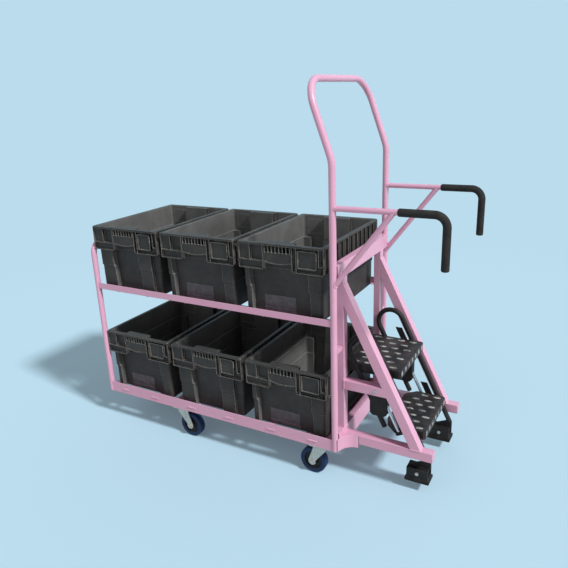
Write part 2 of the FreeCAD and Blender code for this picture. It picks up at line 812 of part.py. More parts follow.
def build_guides():
    """Block behind each mid strut: the rear leg slides through it and a return rod into it."""
    solid = new_body("guide_block")
    side = drawing(solid, "guide_side", "XZ_Plane", LEG_Y)
    top = "strut_z + guide_rise"
    outline(side, [
        (GUIDE_X, f"{GUIDE_LOW} + guide_corner"), (f"{GUIDE_X} + guide_corner", GUIDE_LOW),
        (f"{GUIDE_FRONT} - guide_corner", GUIDE_LOW), (GUIDE_FRONT, f"{GUIDE_LOW} + guide_corner"),
        (GUIDE_FRONT, top), (GUIDE_X, top),
    ])
    extrude(solid, "Pad", side, "guide_width", symmetric=True)
    reach = f"(step_unit_z - {GUIDE_LOW})/cos(step_lean) + step_od"
    leg_bore = cylinder("leg_bore", "step_od/2 + run_fit", reach,
                        (rear_leg_x("step_unit_z"), f"-{LEG_Y}", "step_unit_z"), "180 - step_lean")
    rod_bore = cylinder("rod_bore_tool", "rod_od/2 + run_fit", "rod_bore + rod_od",
                        (ROD_TOP[0], f"-{LEG_Y}", ROD_TOP[1]), "180 - step_lean")
    node("step_guides", pair("step_guides", cut("guide_bored", solid, leg_bore, rod_bore)))
    seat = (f"{GUIDE_X} + guide_depth/2", f"-{STEP_OUT}", "strut_z + step_box/2")
    head = bolt_head("guide_bolt", seat, "90")
    node("guide_bolts", pair("guide_bolts", head))


def build_step_tubes():
    """Each side is one tube: rear leg, hairpin bend and front leg down to the foot."""
    solid = new_body("step_side_tube")
    rear_end = (f"{BEND_X} - step_bend*cos(step_lean) + rear_leg*sin(step_lean)",
                "step_unit_z - step_bend*sin(step_lean) - rear_leg*cos(step_lean)")
    sweep(solid, drawing(solid, "step_path", "XZ_Plane", LEG_Y), [
        rear_end,
        *bend((BEND_X, "step_unit_z"), "step_bend", "180 + step_lean", "step_lean", STEP_JOINTS),
        (front_leg_x(BRACKET_Z), BRACKET_Z),
    ], "step_od/2")
    foot = front_leg_x(BRACKET_Z)
    level = box("foot_level", (f"{foot} - pad_length", f"{foot} + pad_length"),
                (f"-{LEG_Y} - step_od", f"-{LEG_Y} + step_od"), ("0", WEB_TOP))
    node("step_side_tubes", pair("step_side_tubes", cut("step_tube_level", solid, level)))


def build_tread(name, guard):
    """Folded tray between the side tubes, with a lip all round."""
    z = f"{name}_z"
    front = f"({front_leg_x(z)} + {name}_nose)"
    back = f"({front} - {name}_depth)"
    corner = "lower_tread_corner" if name == "lower_tread" else "tread_corner"
    solid = new_body(name)

    def tray(sketch, inset):
        low, high = f"{back} + {inset}", f"{front} - {inset}"
        half = f"({TREAD_HALF} - {inset})"
        rear, fore = [f"({size} - {inset}*tan(22.5))" for size in (corner, "tread_corner")]
        side = [(f"{low} + {rear}", half), (f"{high} - {fore}", half), (high, f"({half} - {fore})")]
        side = [(low, f"({half} - {rear})"), *side]
        outline(sketch, side + [(x, f"-{y}") for x, y in side[::-1]])

    plan = drawing(solid, f"{name}_plan", "XY_Plane", f"{z} - tread_lip")
    tray(plan, "0")
    extrude(solid, "Pad", plan, "tread_lip")
    under = drawing(solid, f"{name}_under", "XY_Plane", f"{z} - tread_lip")
    tray(under, "tread_sheet")
    extrude(solid, "Pocket", under, "tread_lip - tread_sheet", reverse=True)
    if guard:
        edge = drawing(solid, f"{name}_guard", "XY_Plane", z)
        half = f"({TREAD_HALF} - {corner})"
        rectangle(edge, (back, f"{back} + tread_sheet"), (f"-{half}", half))
        extrude(solid, "Pad", edge, "toe_guard")
    node(name, solid)


def build_tread_tabs():
    tabs = []
    for name in ("upper_tread", "lower_tread"):
        z = f"{name}_z"
        solid = new_body(f"{name}_tab")
        side = drawing(solid, f"{name}_tab_side", "XZ_Plane", f"{TREAD_HALF} + tread_tab_sheet/2")
        levels = (f"{z} - tread_tab_lap", f"{z} + tread_tab_height")
        low, high = [(f"({front_leg_x(level)} - tread_tab_back)", level) for level in levels]
        outline(side, [(f"{low[0]} - tread_tab_width", low[1]), low,
                       high, (f"{high[0]} - tread_tab_width", high[1])])
        extrude(solid, "Pad", side, "tread_tab_sheet", symmetric=True)
        tabs.append(pair(f"{name}_tabs", solid))
    node("tread_tabs", group("tread_tabs", tabs))


def build_rods():
    """Bright return rods from the guides down to lugs on the lower tread's sides."""
    seat = "(lower_tread_z - tread_lip/2)"
    x = rod_x(seat)
    lug = doc.addObject("Part::Box", "rod_lug")
    bind(lug, "Length", "lug_width")
    bind(lug, "Width", f"{LEG_Y} + lug_reach - {TREAD_HALF}")
    bind(lug, "Height", "lug_height")
    corner = f"vector(-lug_width/2; -({LEG_Y} + lug_reach); -lug_height)"
    bind(lug, "Placement", f"placement(vector({x}; 0; {seat}); rotation(vector(0; 1; 0); -step_lean))"
                           f"*placement({corner}; rotation(vector(0; 1; 0); 0))")
    node("rod_lugs", pair("rod_lugs", lug))
    top_x = f"{ROD_TOP[0]} + rod_back_off*sin(step_lean)"
    top_z = f"{ROD_TOP[1]} - rod_back_off*cos(step_lean)"
    rod = cylinder("return_rod", "rod_od/2", f"({top_z} - {seat})/cos(step_lean)",
                   (top_x, f"-{LEG_Y}", top_z), "180 - step_lean")
    node("return_rods", pair("return_rods", rod))


FOOT_FRONT = f"({front_leg_x(BRACKET_TOP)} + step_od/2/cos(step_lean) + foot_nose)"
FOOT_MID = f"({FOOT_FRONT} - bracket_length/2)"


def build_feet():
    pad = new_body("foot_pad")
    x, y = [(f"{mid} - {size}/2", f"{mid} + {size}/2")
            for mid, size in ((FOOT_MID, "pad_length"), (f"-{LEG_Y}", "pad_width"))]
    narrow = [(f"{low} + pad_bevel", f"{high} - pad_bevel") for low, high in (x, y)]
    top = f"{BRACKET_Z} - pad_bevel"
    for name, z, levels in (
        ("low", ("pad_lift", "pad_lift + pad_bevel"), (narrow, (x, y))),
        ("mid", ("pad_lift + pad_bevel", top), ((x, y), (x, y))),
        ("high", (top, BRACKET_Z), ((x, y), narrow)),
    ):
        wedge(pad, "Additive", f"foot_pad_{name}", z, *levels)
    node("foot_pads", pair("foot_pads", pad))

    solid = new_body("foot_bracket")
    back = f"({FOOT_FRONT} - bracket_length)"
    end = drawing(solid, "bracket_end", "YZ_Plane", back)
    low, high = BRACKET_Z, BRACKET_TOP
    rectangle(end, (f"-{LEG_Y} - bracket_width/2", f"-{LEG_Y} + bracket_width/2"), (low, high))
    extrude(solid, "Pad", end, "bracket_length")
    hollow = drawing(solid, "bracket_hollow", "YZ_Plane", back)
    half = "(bracket_width/2 - bracket_wall)"
    rectangle(hollow, (f"-{LEG_Y} - {half}", f"-{LEG_Y} + {half}"),
              (f"{low} + bracket_wall", f"{high} - bracket_wall"))
    extrude(solid, "Pocket", hollow, "bracket_length", reverse=True)
    web = drawing(solid, "foot_web", "XZ_Plane", LEG_Y)
    half = "step_od/2/cos(step_lean)"
    heel, toe = [f"{front_leg_x(WEB_TOP)} {sign} {half}" for sign in "-+"]
    outline(web, [(back, high), (toe, high), (toe, WEB_TOP), (heel, WEB_TOP)])
    extrude(solid, "Pad", web, "foot_gusset", symmetric=True)
    node("foot_brackets", pair("foot_brackets", solid))

    bolts = [
        bolt_head(f"foot_bolt_{side}", (FOOT_MID, y, f"{BRACKET_Z} + bracket_height/2"), turn)
        for side, turn, y in (
            ("near", "90", f"-{LEG_Y} - bracket_width/2"), ("far", "-90", f"-{LEG_Y} + bracket_width/2"),
        )
    ]
    node("foot_bolts", pair("foot_bolts", group("foot_bolt_set", bolts)))


# Castors, modelled with the swivel axis at the origin and the wheel trailing to +X

def build_castor_plate():
    """Top plate with the swivel race under it, bored for the king pin."""
    solid = new_body("castor_plate")
    plate = drawing(solid, "plate_plan", "XY_Plane", "castor_height - plate_sheet")
    rectangle(plate, ("-plate_length/2", "plate_length/2"), ("-plate_width/2", "plate_width/2"))
    extrude(solid, "Pad", plate, "plate_sheet")
    race = drawing(solid, "race_plan", "XY_Plane", "castor_height - plate_sheet - race_depth")
    outline(race, even_sides("race_od/2", HUB_SIDES))
    extrude(solid, "Pad", race, "race_depth")
    bore = drawing(solid, "king_bore", "XY_Plane", "castor_height - plate_sheet - race_depth")
    circle(bore, ("0", "0"), "king_od/2 + king_fit")
    extrude(solid, "Pocket", bore, "race_depth + plate_sheet/2", reverse=True)
    return solid


def build_fork():
    """Pressed fork with its king pin, two legs that rake back, and the axle riveted between them."""
    solid = new_body("castor_fork")
    head_top = "(castor_height - plate_sheet - race_depth - swivel_gap)"
    bridge_z = f"({head_top} - fork_head)"
    side = drawing(solid, "fork_side", "XZ_Plane")
    half, flat = "fork_eye/2", "fork_eye/2*tan(22.5)"
    eye = [("-", half, "+", flat), ("-", half, "-", flat), ("-", flat, "-", half),
           ("+", flat, "-", half), ("+", half, "-", flat), ("+", half, "+", flat)]
    outline(side, [
        ("fork_front", head_top), ("-fork_back", head_top), ("-fork_back", bridge_z),
        *[(f"castor_trail {a} {x}", f"{AXLE_Z} {b} {z}") for a, x, b, z in eye],
        ("fork_front", bridge_z),
    ])
    extrude(solid, "Pad", side, f"2*{FORK_OUT}", symmetric=True)
    inside = drawing(solid, "fork_inside_side", "XZ_Plane")
    rectangle(inside, ("-castor_height", "castor_height"), ("0", bridge_z))
    extrude(solid, "Pocket", inside, "fork_inside", symmetric=True)
    king = drawing(solid, "king_plan", "XY_Plane", head_top)
    circle(king, ("0", "0"), "king_od/2")
    extrude(solid, "Pad", king, "swivel_gap + race_depth")
    axle = drawing(solid, "axle_side", "XZ_Plane")
    circle(axle, ("castor_trail", AXLE_Z), "axle_od/2")
    extrude(solid, "Pad", axle, "fork_inside", symmetric=True)
    ends = drawing(solid, "axle_ends", "XZ_Plane", FORK_OUT)
    corners = even_sides("axle_head_od/2", HEX_SIDES)
    outline(ends, [(f"castor_trail + {x}", f"{AXLE_Z} + {z}") for x, z in corners])
    head = extrude(solid, "Pad", ends, "axle_head")
    nut = solid.newObject("PartDesign::Mirrored", "axle_nut")
    nut.Originals = [head]
    nut.MirrorPlane = (plane_of(solid, "XZ_Plane"), [""])
    solid.Tip = nut
    return solid


def build_wheel():
    """Tyre keyed on a many-sided hub that turns on the axle."""
    seat = "(wheel_od/2 - tyre_depth)"
    tyre = new_body("castor_tyre")
    tread = drawing(tyre, "tyre_tread", "XZ_Plane")
    circle(tread, ("0", "0"), "wheel_od/2")
    extrude(tyre, "Pad", tread, "tyre_width", symmetric=True)
    inside = drawing(tyre, "tyre_seat", "XZ_Plane")
    outline(inside, even_sides(f"{seat} + tyre_fit", HUB_SIDES))
    extrude(tyre, "Pocket", inside, "2*tyre_width", symmetric=True)
    hub = new_body("castor_hub")
    rim = ("rim", seat, HUB_SIDES, "tyre_width")
    boss = ("boss", "hub_boss_od/2", HEX_SIDES, "hub_length")
    for name, radius, sides, length in (rim, boss):
        sketch = drawing(hub, f"hub_{name}", "XZ_Plane")
        outline(sketch, even_sides(radius, sides))
        extrude(hub, "Pad", sketch, length, symmetric=True)
    bore = drawing(hub, "hub_bore", "XZ_Plane")
    circle(bore, ("0", "0"), "axle_od/2 + axle_fit")
    extrude(hub, "Pocket", bore, "2*hub_length", symmetric=True)
    for solid in (tyre, hub):
        bind(solid, "Placement.Base.x", "castor_trail")
        bind(solid, "Placement.Base.z", AXLE_Z)
    return tyre, hub


def build_castors():
    plate = build_castor_plate()
    tyre, hub = build_wheel()
    pieces = {"fork": build_fork(), "tyre": tyre, "hub": hub}
    plates = []
    for end, turn in (("handle", "180"), ("free", "0")):
        x = CASTOR_X[end]
        for side, sign in (("near", "-"), ("far", "")):
            place = (x, f"{sign}{CASTOR_Y}", "0")
            plates.append(copy(f"plate_{end}_{side}", plate, place))
            for piece, source in pieces.items():
                name = f"{piece}_{end}_{side}"
                node(name, copy(name, source, place, turn))
    node("castor_plates", group("castor_plates", plates))


# Totes: a stack and nest container, modelled on its own base and copied into the two rows

def tote_spans(inset, wall):
    """Spans of a tote's body at a level: the middle, set back at the ends, and the long strips beside it."""
    x = f"(tote_width/2 - {inset} - {wall})"
    y = f"(tote_length/2 - {inset} - {wall})"
    back = f"({y} - column_depth)"
    edge = f"(column_edge + {wall})"
    return {
        "middle": ((f"-{x}", x), (f"-{back}", back)),
        "left": ((f"-{x}", f"-{edge}"), (f"-{y}", y)),
        "right": ((edge, x), (f"-{y}", y)),
    }


def tote_stage(solid, kind, name, z, insets, wall="0"):
    """One stage of the tapered body, or of its cavity, from its lower to its upper inset."""
    low, high = [tote_spans(inset, wall) for inset in insets]
    for place in low:
        wedge(solid, kind, f"{name}_{place}", z, low[place], high[place])


def build_tote():
    """Stack and nest tote: a two-stage tapered body with corner columns and a deep ribbed rim."""
    solid = new_body("tote")
    stages = [("low", ("base_inset", "ledge_low_inset")), ("high", ("ledge_high_inset", "top_inset"))]
    for (name, insets), z in zip(stages, (("0", "ledge_height"), ("ledge_height", "tote_height"))):
        tote_stage(solid, "Additive", f"tote_{name}", z, insets)
    build_rim(solid)
    ledge = "ledge_height + tote_wall"
    for (name, insets), z in zip(stages, (("tote_floor", ledge), (ledge, "tote_height"))):
        tote_stage(solid, "Subtractive", f"cavity_{name}", z, insets, "tote_wall")
    for row, z in (("upper", "upper_rail_z + rail_sheet"), ("lower", f"{LIP_Z} + rail_sheet")):
        for i in range(TOTES_IN_ROW):
            name = f"tote_{row}_{i + 1}"
            node(name, copy(name, solid, (tote_x(i), "0", z)))


def build_rim(solid):
    """Rim plate, ribbed bands and end faces, drawn right across for the cavity to open."""
    plate = drawing(solid, "rim_top", "XY_Plane", "tote_height - rim_plate")
    outline(plate, chamfered("tote_width/2", "tote_length/2", "rim_corner"))
    extrude(solid, "Pad", plate, "rim_plate")
    rim_low = "(tote_height - rim_height)"
    half = "(tote_width/2 - rib_recess)"
    band = drawing(solid, "band_base", "XY_Plane", rim_low)
    reach = "(tote_length/2 - top_inset - column_depth)"
    rectangle(band, (f"-{half}", half), (f"-{reach}", reach))
    extrude(solid, "Pad", band, "rim_plate")
    ribs = drawing(solid, "side_ribs", "XY_Plane", rim_low)
    y = f"-{(SIDE_RIBS - 1) / 2}*side_rib_pitch"
    rectangle(ribs, (f"-{half}", half), (f"{y} - rib_sheet/2", f"{y} + rib_sheet/2"))
    first = extrude(solid, "Pad", ribs, "rim_height")
    repeat(solid, first, ribs, "side_rib_pitch", SIDE_RIBS)
    build_end_face(solid, rim_low)


def build_end_face(solid, rim_low):
    """Short ends: corner blocks that differ left and right, a pull skirt between them and a label plate."""
    face = "(tote_length/2 - rib_recess)"
    block_depth = "(top_inset + column_depth)"
    outer, inner = "(tote_width/2 - rib_recess)", "block_edge"
    features = []

    def end_pad(name, out, deep, *outlines):
        """Pad from a plane near the short end inwards, to be mirrored to the other end."""
        sketch = drawing(solid, name, "XZ_Plane", out)
        for corners in outlines:
            outline(sketch, corners)
        features.append(extrude(solid, "Pad", sketch, deep, reverse=True))

    def frame(x, z, inset="0"):
        left, right = f"{x[0]} + {inset}", f"{x[1]} - {inset}"
        bottom, top = f"{z[0]} + {inset}", f"{z[1]} - {inset}"
        return [(left, bottom), (right, bottom), (right, top), (left, top)]

    left, right = (f"-{outer}", f"-{inner}"), (inner, outer)
    shelf = "tote_height - block_shelf"
    end_pad("left_block", face, block_depth,
            frame(left, (rim_low, "tote_height")),
            frame(left, (rim_low, shelf), "rib_sheet"),
            frame(left, (f"{shelf} - rib_sheet", "tote_height"), "rib_sheet"))
    end_pad("right_block", face, block_depth,
            frame(right, (rim_low, "tote_height")), frame(right, (rim_low, "tote_height"), "2*rib_sheet"))
    end_pad("right_panel", f"{face} - panel_set_back", "rib_sheet",
            frame(right, (rim_low, "tote_height"), "rib_sheet"))
    lip = "tote_height - skirt_drop"
    end_pad("pull_skirt", face, "rib_sheet", [
        (f"-{inner}", "tote_height"), (f"-{inner}", lip), (f"-{inner}/2", f"{lip} - skirt_sag"),
        (f"{inner}/2", f"{lip} - skirt_sag"), (inner, lip), (inner, "tote_height"),
    ])
    stand = "tote_length/2 - base_inset - column_depth + plate_stand"
    end_pad("label_plate", stand, "plate_stand + tote_wall",
            frame(("-label_width/2", "label_width/2"), ("label_base", "label_base + label_height")))
    mirror = solid.newObject("PartDesign::Mirrored", "far_end")
    mirror.Originals = features
    mirror.MirrorPlane = (plane_of(solid, "XZ_Plane"), [""])
    solid.Tip = mirror


def build_all():
    build_left_hoop()
    build_push_hoop()
    build_rails()
    build_shelf_bars()
    build_lower_frame()
    build_side_frames()
    build_gussets()
    build_small_frame_pieces()
    build_handles()
    build_guides()
    build_step_tubes()
    build_tread("upper_tread", guard=True)
    build_tread("lower_tread", guard=False)
    build_tread_tabs()
    build_rods()
    build_feet()
    build_castors()
    build_tote()


def check_and_write():
    """Refuses a document with a failed object, then writes one file per sub-part."""
    doc.recompute()
    failed = [item.Name for item in doc.Objects if {"Invalid", "Error"} & set(item.State)]
    if failed:
        raise RuntimeError(f"failed objects: {failed}")
    empty = [item.Label for item in nodes if item.Shape.isNull() or not item.Shape.isValid()]
    if empty:
        raise RuntimeError(f"bad shapes: {empty}")
    os.makedirs("parts", exist_ok=True)
    for item in nodes:
        item.Shape.exportStep(f"parts/{item.Label}.step")
        print(item.Label, len(item.Shape.Solids), round(item.Shape.Volume / 1000, 1))


build_all()
check_and_write()
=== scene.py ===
import json
import math

import bmesh
import bpy
import numpy as np
from mathutils import Matrix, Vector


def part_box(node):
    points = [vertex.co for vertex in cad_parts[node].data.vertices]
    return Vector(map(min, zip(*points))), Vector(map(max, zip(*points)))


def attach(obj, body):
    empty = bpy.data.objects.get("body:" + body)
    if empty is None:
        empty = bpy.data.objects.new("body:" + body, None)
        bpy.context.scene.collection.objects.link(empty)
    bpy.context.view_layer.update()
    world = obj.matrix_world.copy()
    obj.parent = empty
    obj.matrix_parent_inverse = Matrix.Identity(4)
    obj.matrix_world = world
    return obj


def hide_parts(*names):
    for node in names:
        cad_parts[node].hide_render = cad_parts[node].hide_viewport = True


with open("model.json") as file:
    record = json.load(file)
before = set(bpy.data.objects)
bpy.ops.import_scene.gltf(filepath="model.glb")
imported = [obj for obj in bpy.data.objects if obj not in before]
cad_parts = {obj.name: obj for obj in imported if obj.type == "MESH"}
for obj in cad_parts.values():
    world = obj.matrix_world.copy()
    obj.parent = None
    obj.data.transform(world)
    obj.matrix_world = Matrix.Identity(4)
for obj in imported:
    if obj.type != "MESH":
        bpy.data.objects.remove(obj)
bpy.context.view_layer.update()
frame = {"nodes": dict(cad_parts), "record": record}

# Sizes in metres, as the solids have them
HOOP_X = -0.865
HOOP_TOP = 0.965
HOOP_BEND = 0.058
PUSH_X = 0.434
PUSH_TOP_X = 0.330
PUSH_SHOULDER = 1.384
PUSH_TOP = 1.676
PUSH_BENDS = (0.150, 0.110)
SIDE_Y = 0.294
TUBE_R = 0.014
FRAME_FOOT = 0.155
HANDLE_Z = 1.210
HANDLE_END = 0.864
HANDLE_BEND = 0.045
HANDLE_R = 0.011
BRACE_Z = 0.897
BRACE_REACH = 0.240
GRIP_R = 0.015
GRIP_START = 0.689
GRIP_BOTTOM = 1.010
STEP_LEAN = math.radians(26.5)
STEP_CENTRE = (0.514, 0.592)
STEP_BEND = 0.0605
STEP_R = 0.011
REAR_LEG = 0.345
LEG_Y = 0.176
WEB_TOP = 0.140
TREAD_TOP = {"upper": 0.522, "lower": 0.266}
POST_X = (0.420, 0.450)
GUSSET_X = 0.450
STEP_Y = 0.214
STEP_HALF = 0.020
BAR_Z = (0.175, 0.215)
STRUT_Z = (0.426, 0.466)
DIAGONAL_FOOT = 0.788
BEAM_TOP = 0.236
POST_TOP = 0.924
RAIL_Y = 0.304
UPPER_RAIL_Z = 0.730
LIP_Z = 0.180
RAIL_TALL = 0.030
WHEEL_R = 0.0625
WHEEL_Y = 0.264
WHEEL_X = {"handle": 0.318, "free": -0.363}
SWIVEL_X = {"handle": 0.358, "free": -0.403}
PLATE_LOW = 0.151
PLATE_BOLTS = (0.039, 0.031)
TOTE_X = (-0.648, -0.2255, 0.197)
TOTE_BASE = {"upper": 0.733, "lower": 0.183}
TOTE_HEIGHT = 0.317
TOTE_FACE = 0.298
UP = np.array((0.0, 0.0, 1.0))


# Surfaces

def unit(vectors):
    return vectors / np.linalg.norm(vectors, axis=-1, keepdims=True)


def quads(rows, cols, rows_round, cols_round):
    """Corner numbers of a grid's faces; a way that goes round joins its last line to its first."""
    r = np.arange(rows if rows_round else rows - 1)[:, None]
    c = np.arange(cols if cols_round else cols - 1)[None, :]
    below, right = (r + 1) % rows, (c + 1) % cols
    corners = [r * cols + c, r * cols + right, below * cols + right, below * cols + c]
    return np.stack(corners, axis=-1).reshape(-1, 4)


def piece(name, body, finish, grids, stands_for=(), sharp=35):
    """One object from grids of points, each (points, rows_round, cols_round, capped), many alike at once."""
    points, faces, start = [], [], 0
    for grid, rows_round, cols_round, capped in grids:
        grid = grid.reshape(-1, *grid.shape[-3:])
        count, rows, cols = grid.shape[:3]
        lift = start + np.arange(count)[:, None, None] * rows * cols
        faces += (quads(rows, cols, rows_round, cols_round)[None] + lift).reshape(-1, 4).tolist()
        if capped:
            ends = (lift[:, 0] + np.arange(cols), lift[:, 0] + (rows - 1) * cols + np.arange(cols)[::-1])
            faces += np.concatenate(ends).tolist()
        points.append(grid.reshape(-1, 3))
        start += count * rows * cols
    mesh = bpy.data.meshes.new(name)
    mesh.from_pydata(np.concatenate(points).tolist(), [], faces)
    shell = bmesh.new()
    shell.from_mesh(mesh)
    bmesh.ops.remove_doubles(shell, verts=shell.verts, dist=1e-6)
    bmesh.ops.recalc_face_normals(shell, faces=shell.faces)
    shell.to_mesh(mesh)
    shell.free()
    mesh.polygons.foreach_set("use_smooth", np.ones(len(mesh.polygons), dtype=bool))
    mesh.set_sharp_from_angle(angle=math.radians(sharp))
    mesh.materials.append(finish)
    item = bpy.data.objects.new(name, mesh)
    bpy.context.scene.collection.objects.link(item)
    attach(item, body)
    if stands_for:
        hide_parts(*stands_for)
    return item


def rounded(corners, radii, steps=14):
    """Straight runs joined by arcs: at each inner corner an arc of its radius touches both runs."""
    corners = np.asarray(corners, dtype=float)
    runs = [corners[:1]]
    part = np.linspace(0, 1, steps)[:, None]
    for before, at, after, radius in zip(corners, corners[1:], corners[2:], radii):
        back, ahead = unit(before - at), unit(after - at)
        half = math.acos(back @ ahead) / 2
        turn = math.pi - 2 * half
        centre = at + unit(back + ahead) * radius / math.sin(half)
        first = at + back * radius / math.tan(half) - centre
        last = at + ahead * radius / math.tan(half) - centre
        arc = np.sin((1 - part) * turn) * first + np.sin(part * turn) * last
        runs.append(centre + arc / math.sin(turn))
    return np.concatenate([*runs, corners[-1:]])


def tube(path, radius, across, sides=24, closed=False):
    """A ring carried along a path: c(s) + r(s)(cos a n(s) + sin a b(s)), n and b square to the path."""
    path = np.asarray(path, dtype=float)
    ahead = unit(np.roll(path, -1, axis=0) - path)
    behind = np.roll(ahead, 1, axis=0)
    if not closed:
        ahead[-1], behind[0] = behind[-1], ahead[0]
    tangent = unit(ahead + behind)
    side = unit(np.cross(tangent, across))
    other = np.cross(side, tangent)
    angle = np.linspace(0, 2 * math.pi, sides, endpoint=False)[None, :, None]
    reach = np.broadcast_to(radius, len(path))[:, None, None]
    return path[:, None] + reach * (np.cos(angle) * side[:, None] + np.sin(angle) * other[:, None])


def lengths(path):
    """How far along a path each of its points lies."""
    return np.concatenate([[0], np.cumsum(np.linalg.norm(np.diff(path, axis=0), axis=1))])


def at_lengths(path, stations):
    """Points of a path at given lengths along it."""
    run = lengths(path)
    return np.stack([np.interp(stations, run, path[:, i]) for i in range(3)], axis=-1)


def turned(profile, centre, axis, sides=56):
    """Profile of (radius, along) turned about an upright or crosswise axis through a centre."""
    radius, along = np.asarray(profile, dtype=float).T[:, :, None]
    angle = np.linspace(0, 2 * math.pi, sides, endpoint=False)[None]
    flat, tall = radius * np.cos(angle), radius * np.sin(angle)
    run = along + 0 * angle
    local = (flat, run, tall) if axis == "y" else (flat, tall, run)
    return np.stack(local, axis=-1) + np.asarray(centre, dtype=float)


def plates(centres, wide, tall, half_wide, half_tall, thick, corner, sink=0.0006, steps=4):
    """Rounded rectangles raised off a face: the outline, the shoulder and the inset top of each."""
    turn = np.arange(4 * steps) // steps
    quarter = (turn + np.arange(4 * steps) % steps / (steps - 1)) * math.pi / 2
    sign_x = np.array((1, -1, -1, 1))[turn]
    sign_y = np.array((1, 1, -1, -1))[turn]
    normal = np.cross(wide, tall)
    inset = min(corner, thick) * 0.4
    levels = []
    for lift, cut_in in ((-sink, 0.0), (thick - inset, 0.0), (thick, inset)):
        round_off = max(corner - cut_in, corner * 0.3)
        x = sign_x * (half_wide - corner) + round_off * np.cos(quarter)
        y = sign_y * (half_tall - corner) + round_off * np.sin(quarter)
        levels.append(x[:, None] * wide + y[:, None] * tall + lift * normal)
    return np.asarray(centres, dtype=float)[:, None, None] + np.stack(levels)[None]


# Finishes

class Wire:
    """One socket of a finish; arithmetic on it adds Math nodes."""

    def __init__(self, tree, socket):
        self.tree, self.socket = tree, socket

    def node(self, kind, settings=None, inputs=None, out=0):
        """Adds a node, sets it, then sets or links its inputs, and gives one of its outputs."""
        made = self.tree.nodes.new(kind)
        for key, value in (settings or {}).items():
            setattr(made, key, value)
        for key, value in (inputs or {}).items():
            self.plug(made.inputs[key], value)
        return Wire(self.tree, made.outputs[out])

    def plug(self, socket, value):
        if isinstance(value, Wire):
            self.tree.links.new(value.socket, socket)
        elif socket.type == "RGBA":
            socket.default_value = (*value, 1.0)
        else:
            socket.default_value = value

    def maths(self, operation, *values):
        return self.node("ShaderNodeMath", {"operation": operation}, dict(enumerate(values)))

    def __add__(self, other):
        return self.maths("ADD", self, other)

    def __rsub__(self, other):
        return self.maths("SUBTRACT", other, self)

    def __mul__(self, other):
        return self.maths("MULTIPLY", self, other)

    __radd__ = __add__
    __rmul__ = __mul__

    def between(self, low, high):
        """0 below the low value, 1 above the high one, and smooth between."""
        return self.node("ShaderNodeMapRange", {"interpolation_type": "SMOOTHSTEP"},
                         {"Value": self, "From Min": low, "From Max": high})

    def mix(self, first, second):
        """From the first colour to the second as this value goes from 0 to 1."""
        return self.node("ShaderNodeMix", {"data_type": "RGBA"}, {0: self, 6: first, 7: second}, 2)

    def stretched(self, scale):
        return self.node("ShaderNodeMapping", None, {"Vector": self, "Scale": scale})

    def noise(self, scale, detail=3.0, rough=0.55):
        return self.node("ShaderNodeTexNoise", None,
                         {"Vector": self, "Scale": scale, "Detail": detail, "Roughness": rough})

    def cells(self, scale):
        return self.node("ShaderNodeTexVoronoi", None, {"Vector": self, "Scale": scale})


class Finish:
    """A material with its shader, its place on the object and its eased edges."""

    def __init__(self, name, metal=0.0, ease=0.0015, gloss=0.5):
        self.material = bpy.data.materials.new(name)
        self.material.use_nodes = True
        tree = self.material.node_tree
        self.shader = tree.nodes["Principled BSDF"]
        self.shader.inputs["Metallic"].default_value = metal
        self.shader.inputs["Specular IOR Level"].default_value = gloss
        self.place = Wire(tree, tree.nodes.new("ShaderNodeTexCoord").outputs["Object"])
        self.eased = self.place.node("ShaderNodeBevel", {"samples": 6}, {"Radius": ease})

    def edges(self, reach, low, high):
        """1 on edges: how far the eased normal turns from the face's own."""
        soft = self.place.node("ShaderNodeBevel", {"samples": 6}, {"Radius": reach})
        flat = self.place.node("ShaderNodeNewGeometry", None, None, "True Normal")
        along = self.place.node("ShaderNodeVectorMath", {"operation": "DOT_PRODUCT"},
                                {0: soft, 1: flat}, "Value")
        return (1 - along).between(low, high)

    def done(self, colour, roughness, height=None, strength=0.2, distance=0.0005):
        """Links colour, roughness and bump to the shader."""
        self.place.plug(self.shader.inputs["Base Color"], colour)
        self.place.plug(self.shader.inputs["Roughness"], roughness)
        normal = self.eased
        if height is not None:
            normal = self.place.node("ShaderNodeBump", None, {
                "Strength": strength, "Distance": distance, "Height": height, "Normal": self.eased})
        self.place.plug(self.shader.inputs["Normal"], normal)
        return self.material


def pink_coat():
    """Satin powder coat: faint cloudiness, orange peel, a painted highlight that pales every edge, and a few
    scuffs.
    """
    coat = Finish("pink_coat", ease=0.0035)
    cloud = coat.place.noise(5.0)
    scuff = coat.place.stretched((60.0, 60.0, 14.0)).noise(1.0, 6.0, 0.7).between(0.66, 0.74)
    grime = coat.place.noise(22.0, 5.0).between(0.58, 0.80)
    colour = cloud.between(0.3, 0.7).mix((0.700, 0.362, 0.515), (0.725, 0.395, 0.548))
    colour = (grime * 0.16).mix(colour, (0.48, 0.23, 0.33))
    colour = (scuff * 0.35).mix(colour, (0.72, 0.47, 0.57))
    # Painted highlight: the pink is mixed towards a pale pink along every edge, standing in for sunlit
    # rounded edges.
    colour = (coat.edges(0.004, 0.03, 0.30) * 0.55).mix(colour, (0.77, 0.60, 0.67))
    peel = coat.place.noise(420.0, 2.0)
    coat.shader.inputs["Coat Weight"].default_value = 0.25
    coat.shader.inputs["Coat Roughness"].default_value = 0.22
    return coat.done(colour, 0.36 + 0.14 * cloud + 0.12 * scuff, peel, 0.12, 0.0004)


